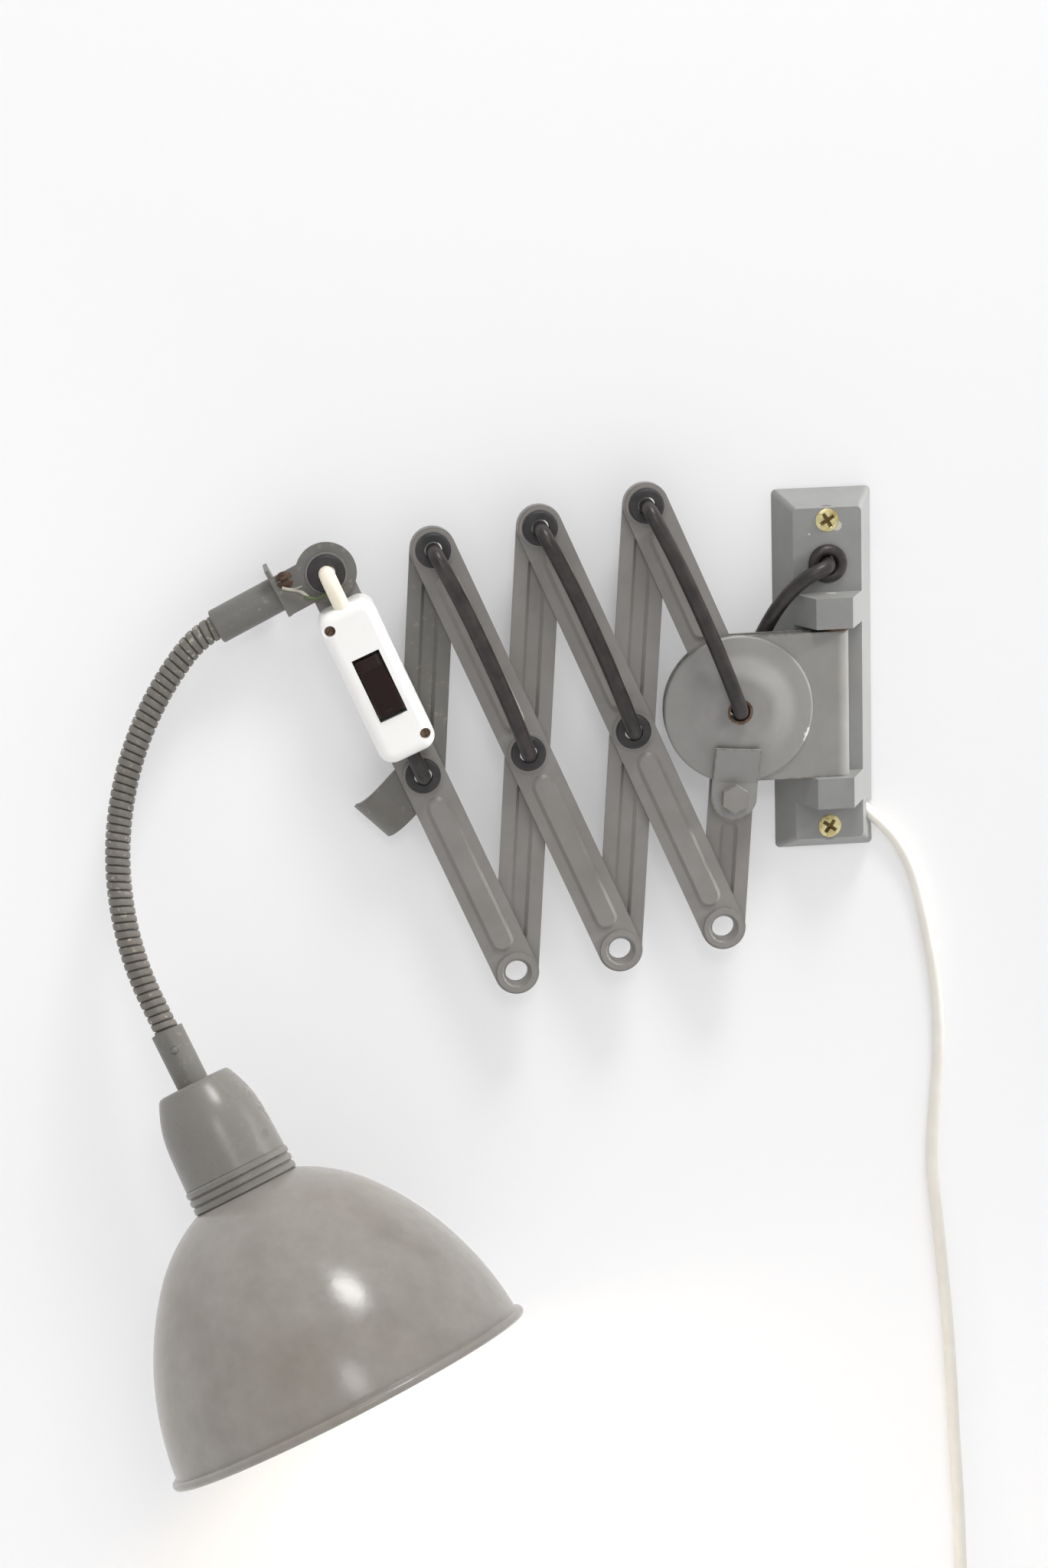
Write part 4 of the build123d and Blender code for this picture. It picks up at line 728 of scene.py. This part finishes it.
def dome_line(inset, steps=28):
    """The shade's curve, drawn in by a wall thickness: three arcs, each from slope to slope."""
    parts = []
    for (r0, h0), (r1, h1), slope, next_slope in zip(knots, knots[1:], slopes, slopes[1:]):
        slope_now = np.linspace(slope, next_slope, steps)
        radius = hypot(r1 - r0, h1 - h0) / (2 * sin((next_slope - slope) / 2)) - inset
        centre = np.array([r0 - (radius + inset) * sin(slope), h0 + (radius + inset) * cos(slope)])
        parts.append(centre + radius * np.stack([np.sin(slope_now), -np.cos(slope_now)], -1))
    return np.vstack([parts[0], parts[1][1:], parts[2][1:]])


shade_wall, shade_sides = 1.0, 128
outer, inner = dome_line(0.0), dome_line(shade_wall)
outer, inner = outer[outer[:, 1] < 157.0], inner[inner[:, 1] < 157.6]
bead_angle = radians(1.0) * np.linspace(-110, 195, 22)
bead = np.array([73.9, 158.9]) + 1.9 * np.stack([np.cos(bead_angle), np.sin(bead_angle)], -1)
shade_profile = np.vstack([[(16.9, 71.0), (16.9, 70.0)], outer, bead, inner[::-1]])
shade_points = turned_points(shade_profile / 1000, head_origin / 1000, head_axis, neck_normal, shade_sides)
spun_shade = grid_piece("spun_shade", shade_points, shade_enamel, close_u=True, close_v=True)
spun_shade.data.materials.append(white_enamel)
inside_row = 2 + len(outer) + len(bead) - 1
finish = np.repeat((np.arange(len(shade_profile)) >= inside_row).astype(np.int32), shade_sides)
spun_shade.data.polygons.foreach_set("material_index", finish)
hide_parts("shade")
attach(spun_shade, "head")


# Bulb: a globe of blown glass, frosted so that the filament doesn't show, on a screw shell in the
# lamp holder. It is lit, and glows warm on the wall below the shade.
bulb_glass, bulb_out = empty_material("frosted_glow")
bulb_place = add(bulb_glass, "ShaderNodeTexCoord")
bulb_frost = add(bulb_glass, "ShaderNodeTexNoise", {"Scale": 300.0}, {"Vector": bulb_place.outputs["Object"]})
bulb_bump = add(bulb_glass, "ShaderNodeBump", {"Strength": 0.05, "Distance": 0.0003},
                {"Height": bulb_frost.outputs["Fac"]})
bulb_skin = add(bulb_glass, "ShaderNodeBsdfPrincipled", {"Base Color": linear("#fbf3e2"), "Roughness": 0.3,
                "Emission Color": linear("#ffe8c6"), "Emission Strength": 16.0},
                {"Normal": bulb_bump.outputs["Normal"]})
bulb_glass.node_tree.links.new(bulb_skin.outputs["BSDF"], bulb_out.inputs["Surface"])
dress(bulb_glass, "bulb")

# Plug pins: two solid brass pins with rounded tips, turned on a lathe and moulded into the plug
# body, bright from use.
brass = worn_metal("turned_brass", "#c9a557", "#a2823f", 0.28, 1.0)
dress(brass, "plug_pins")
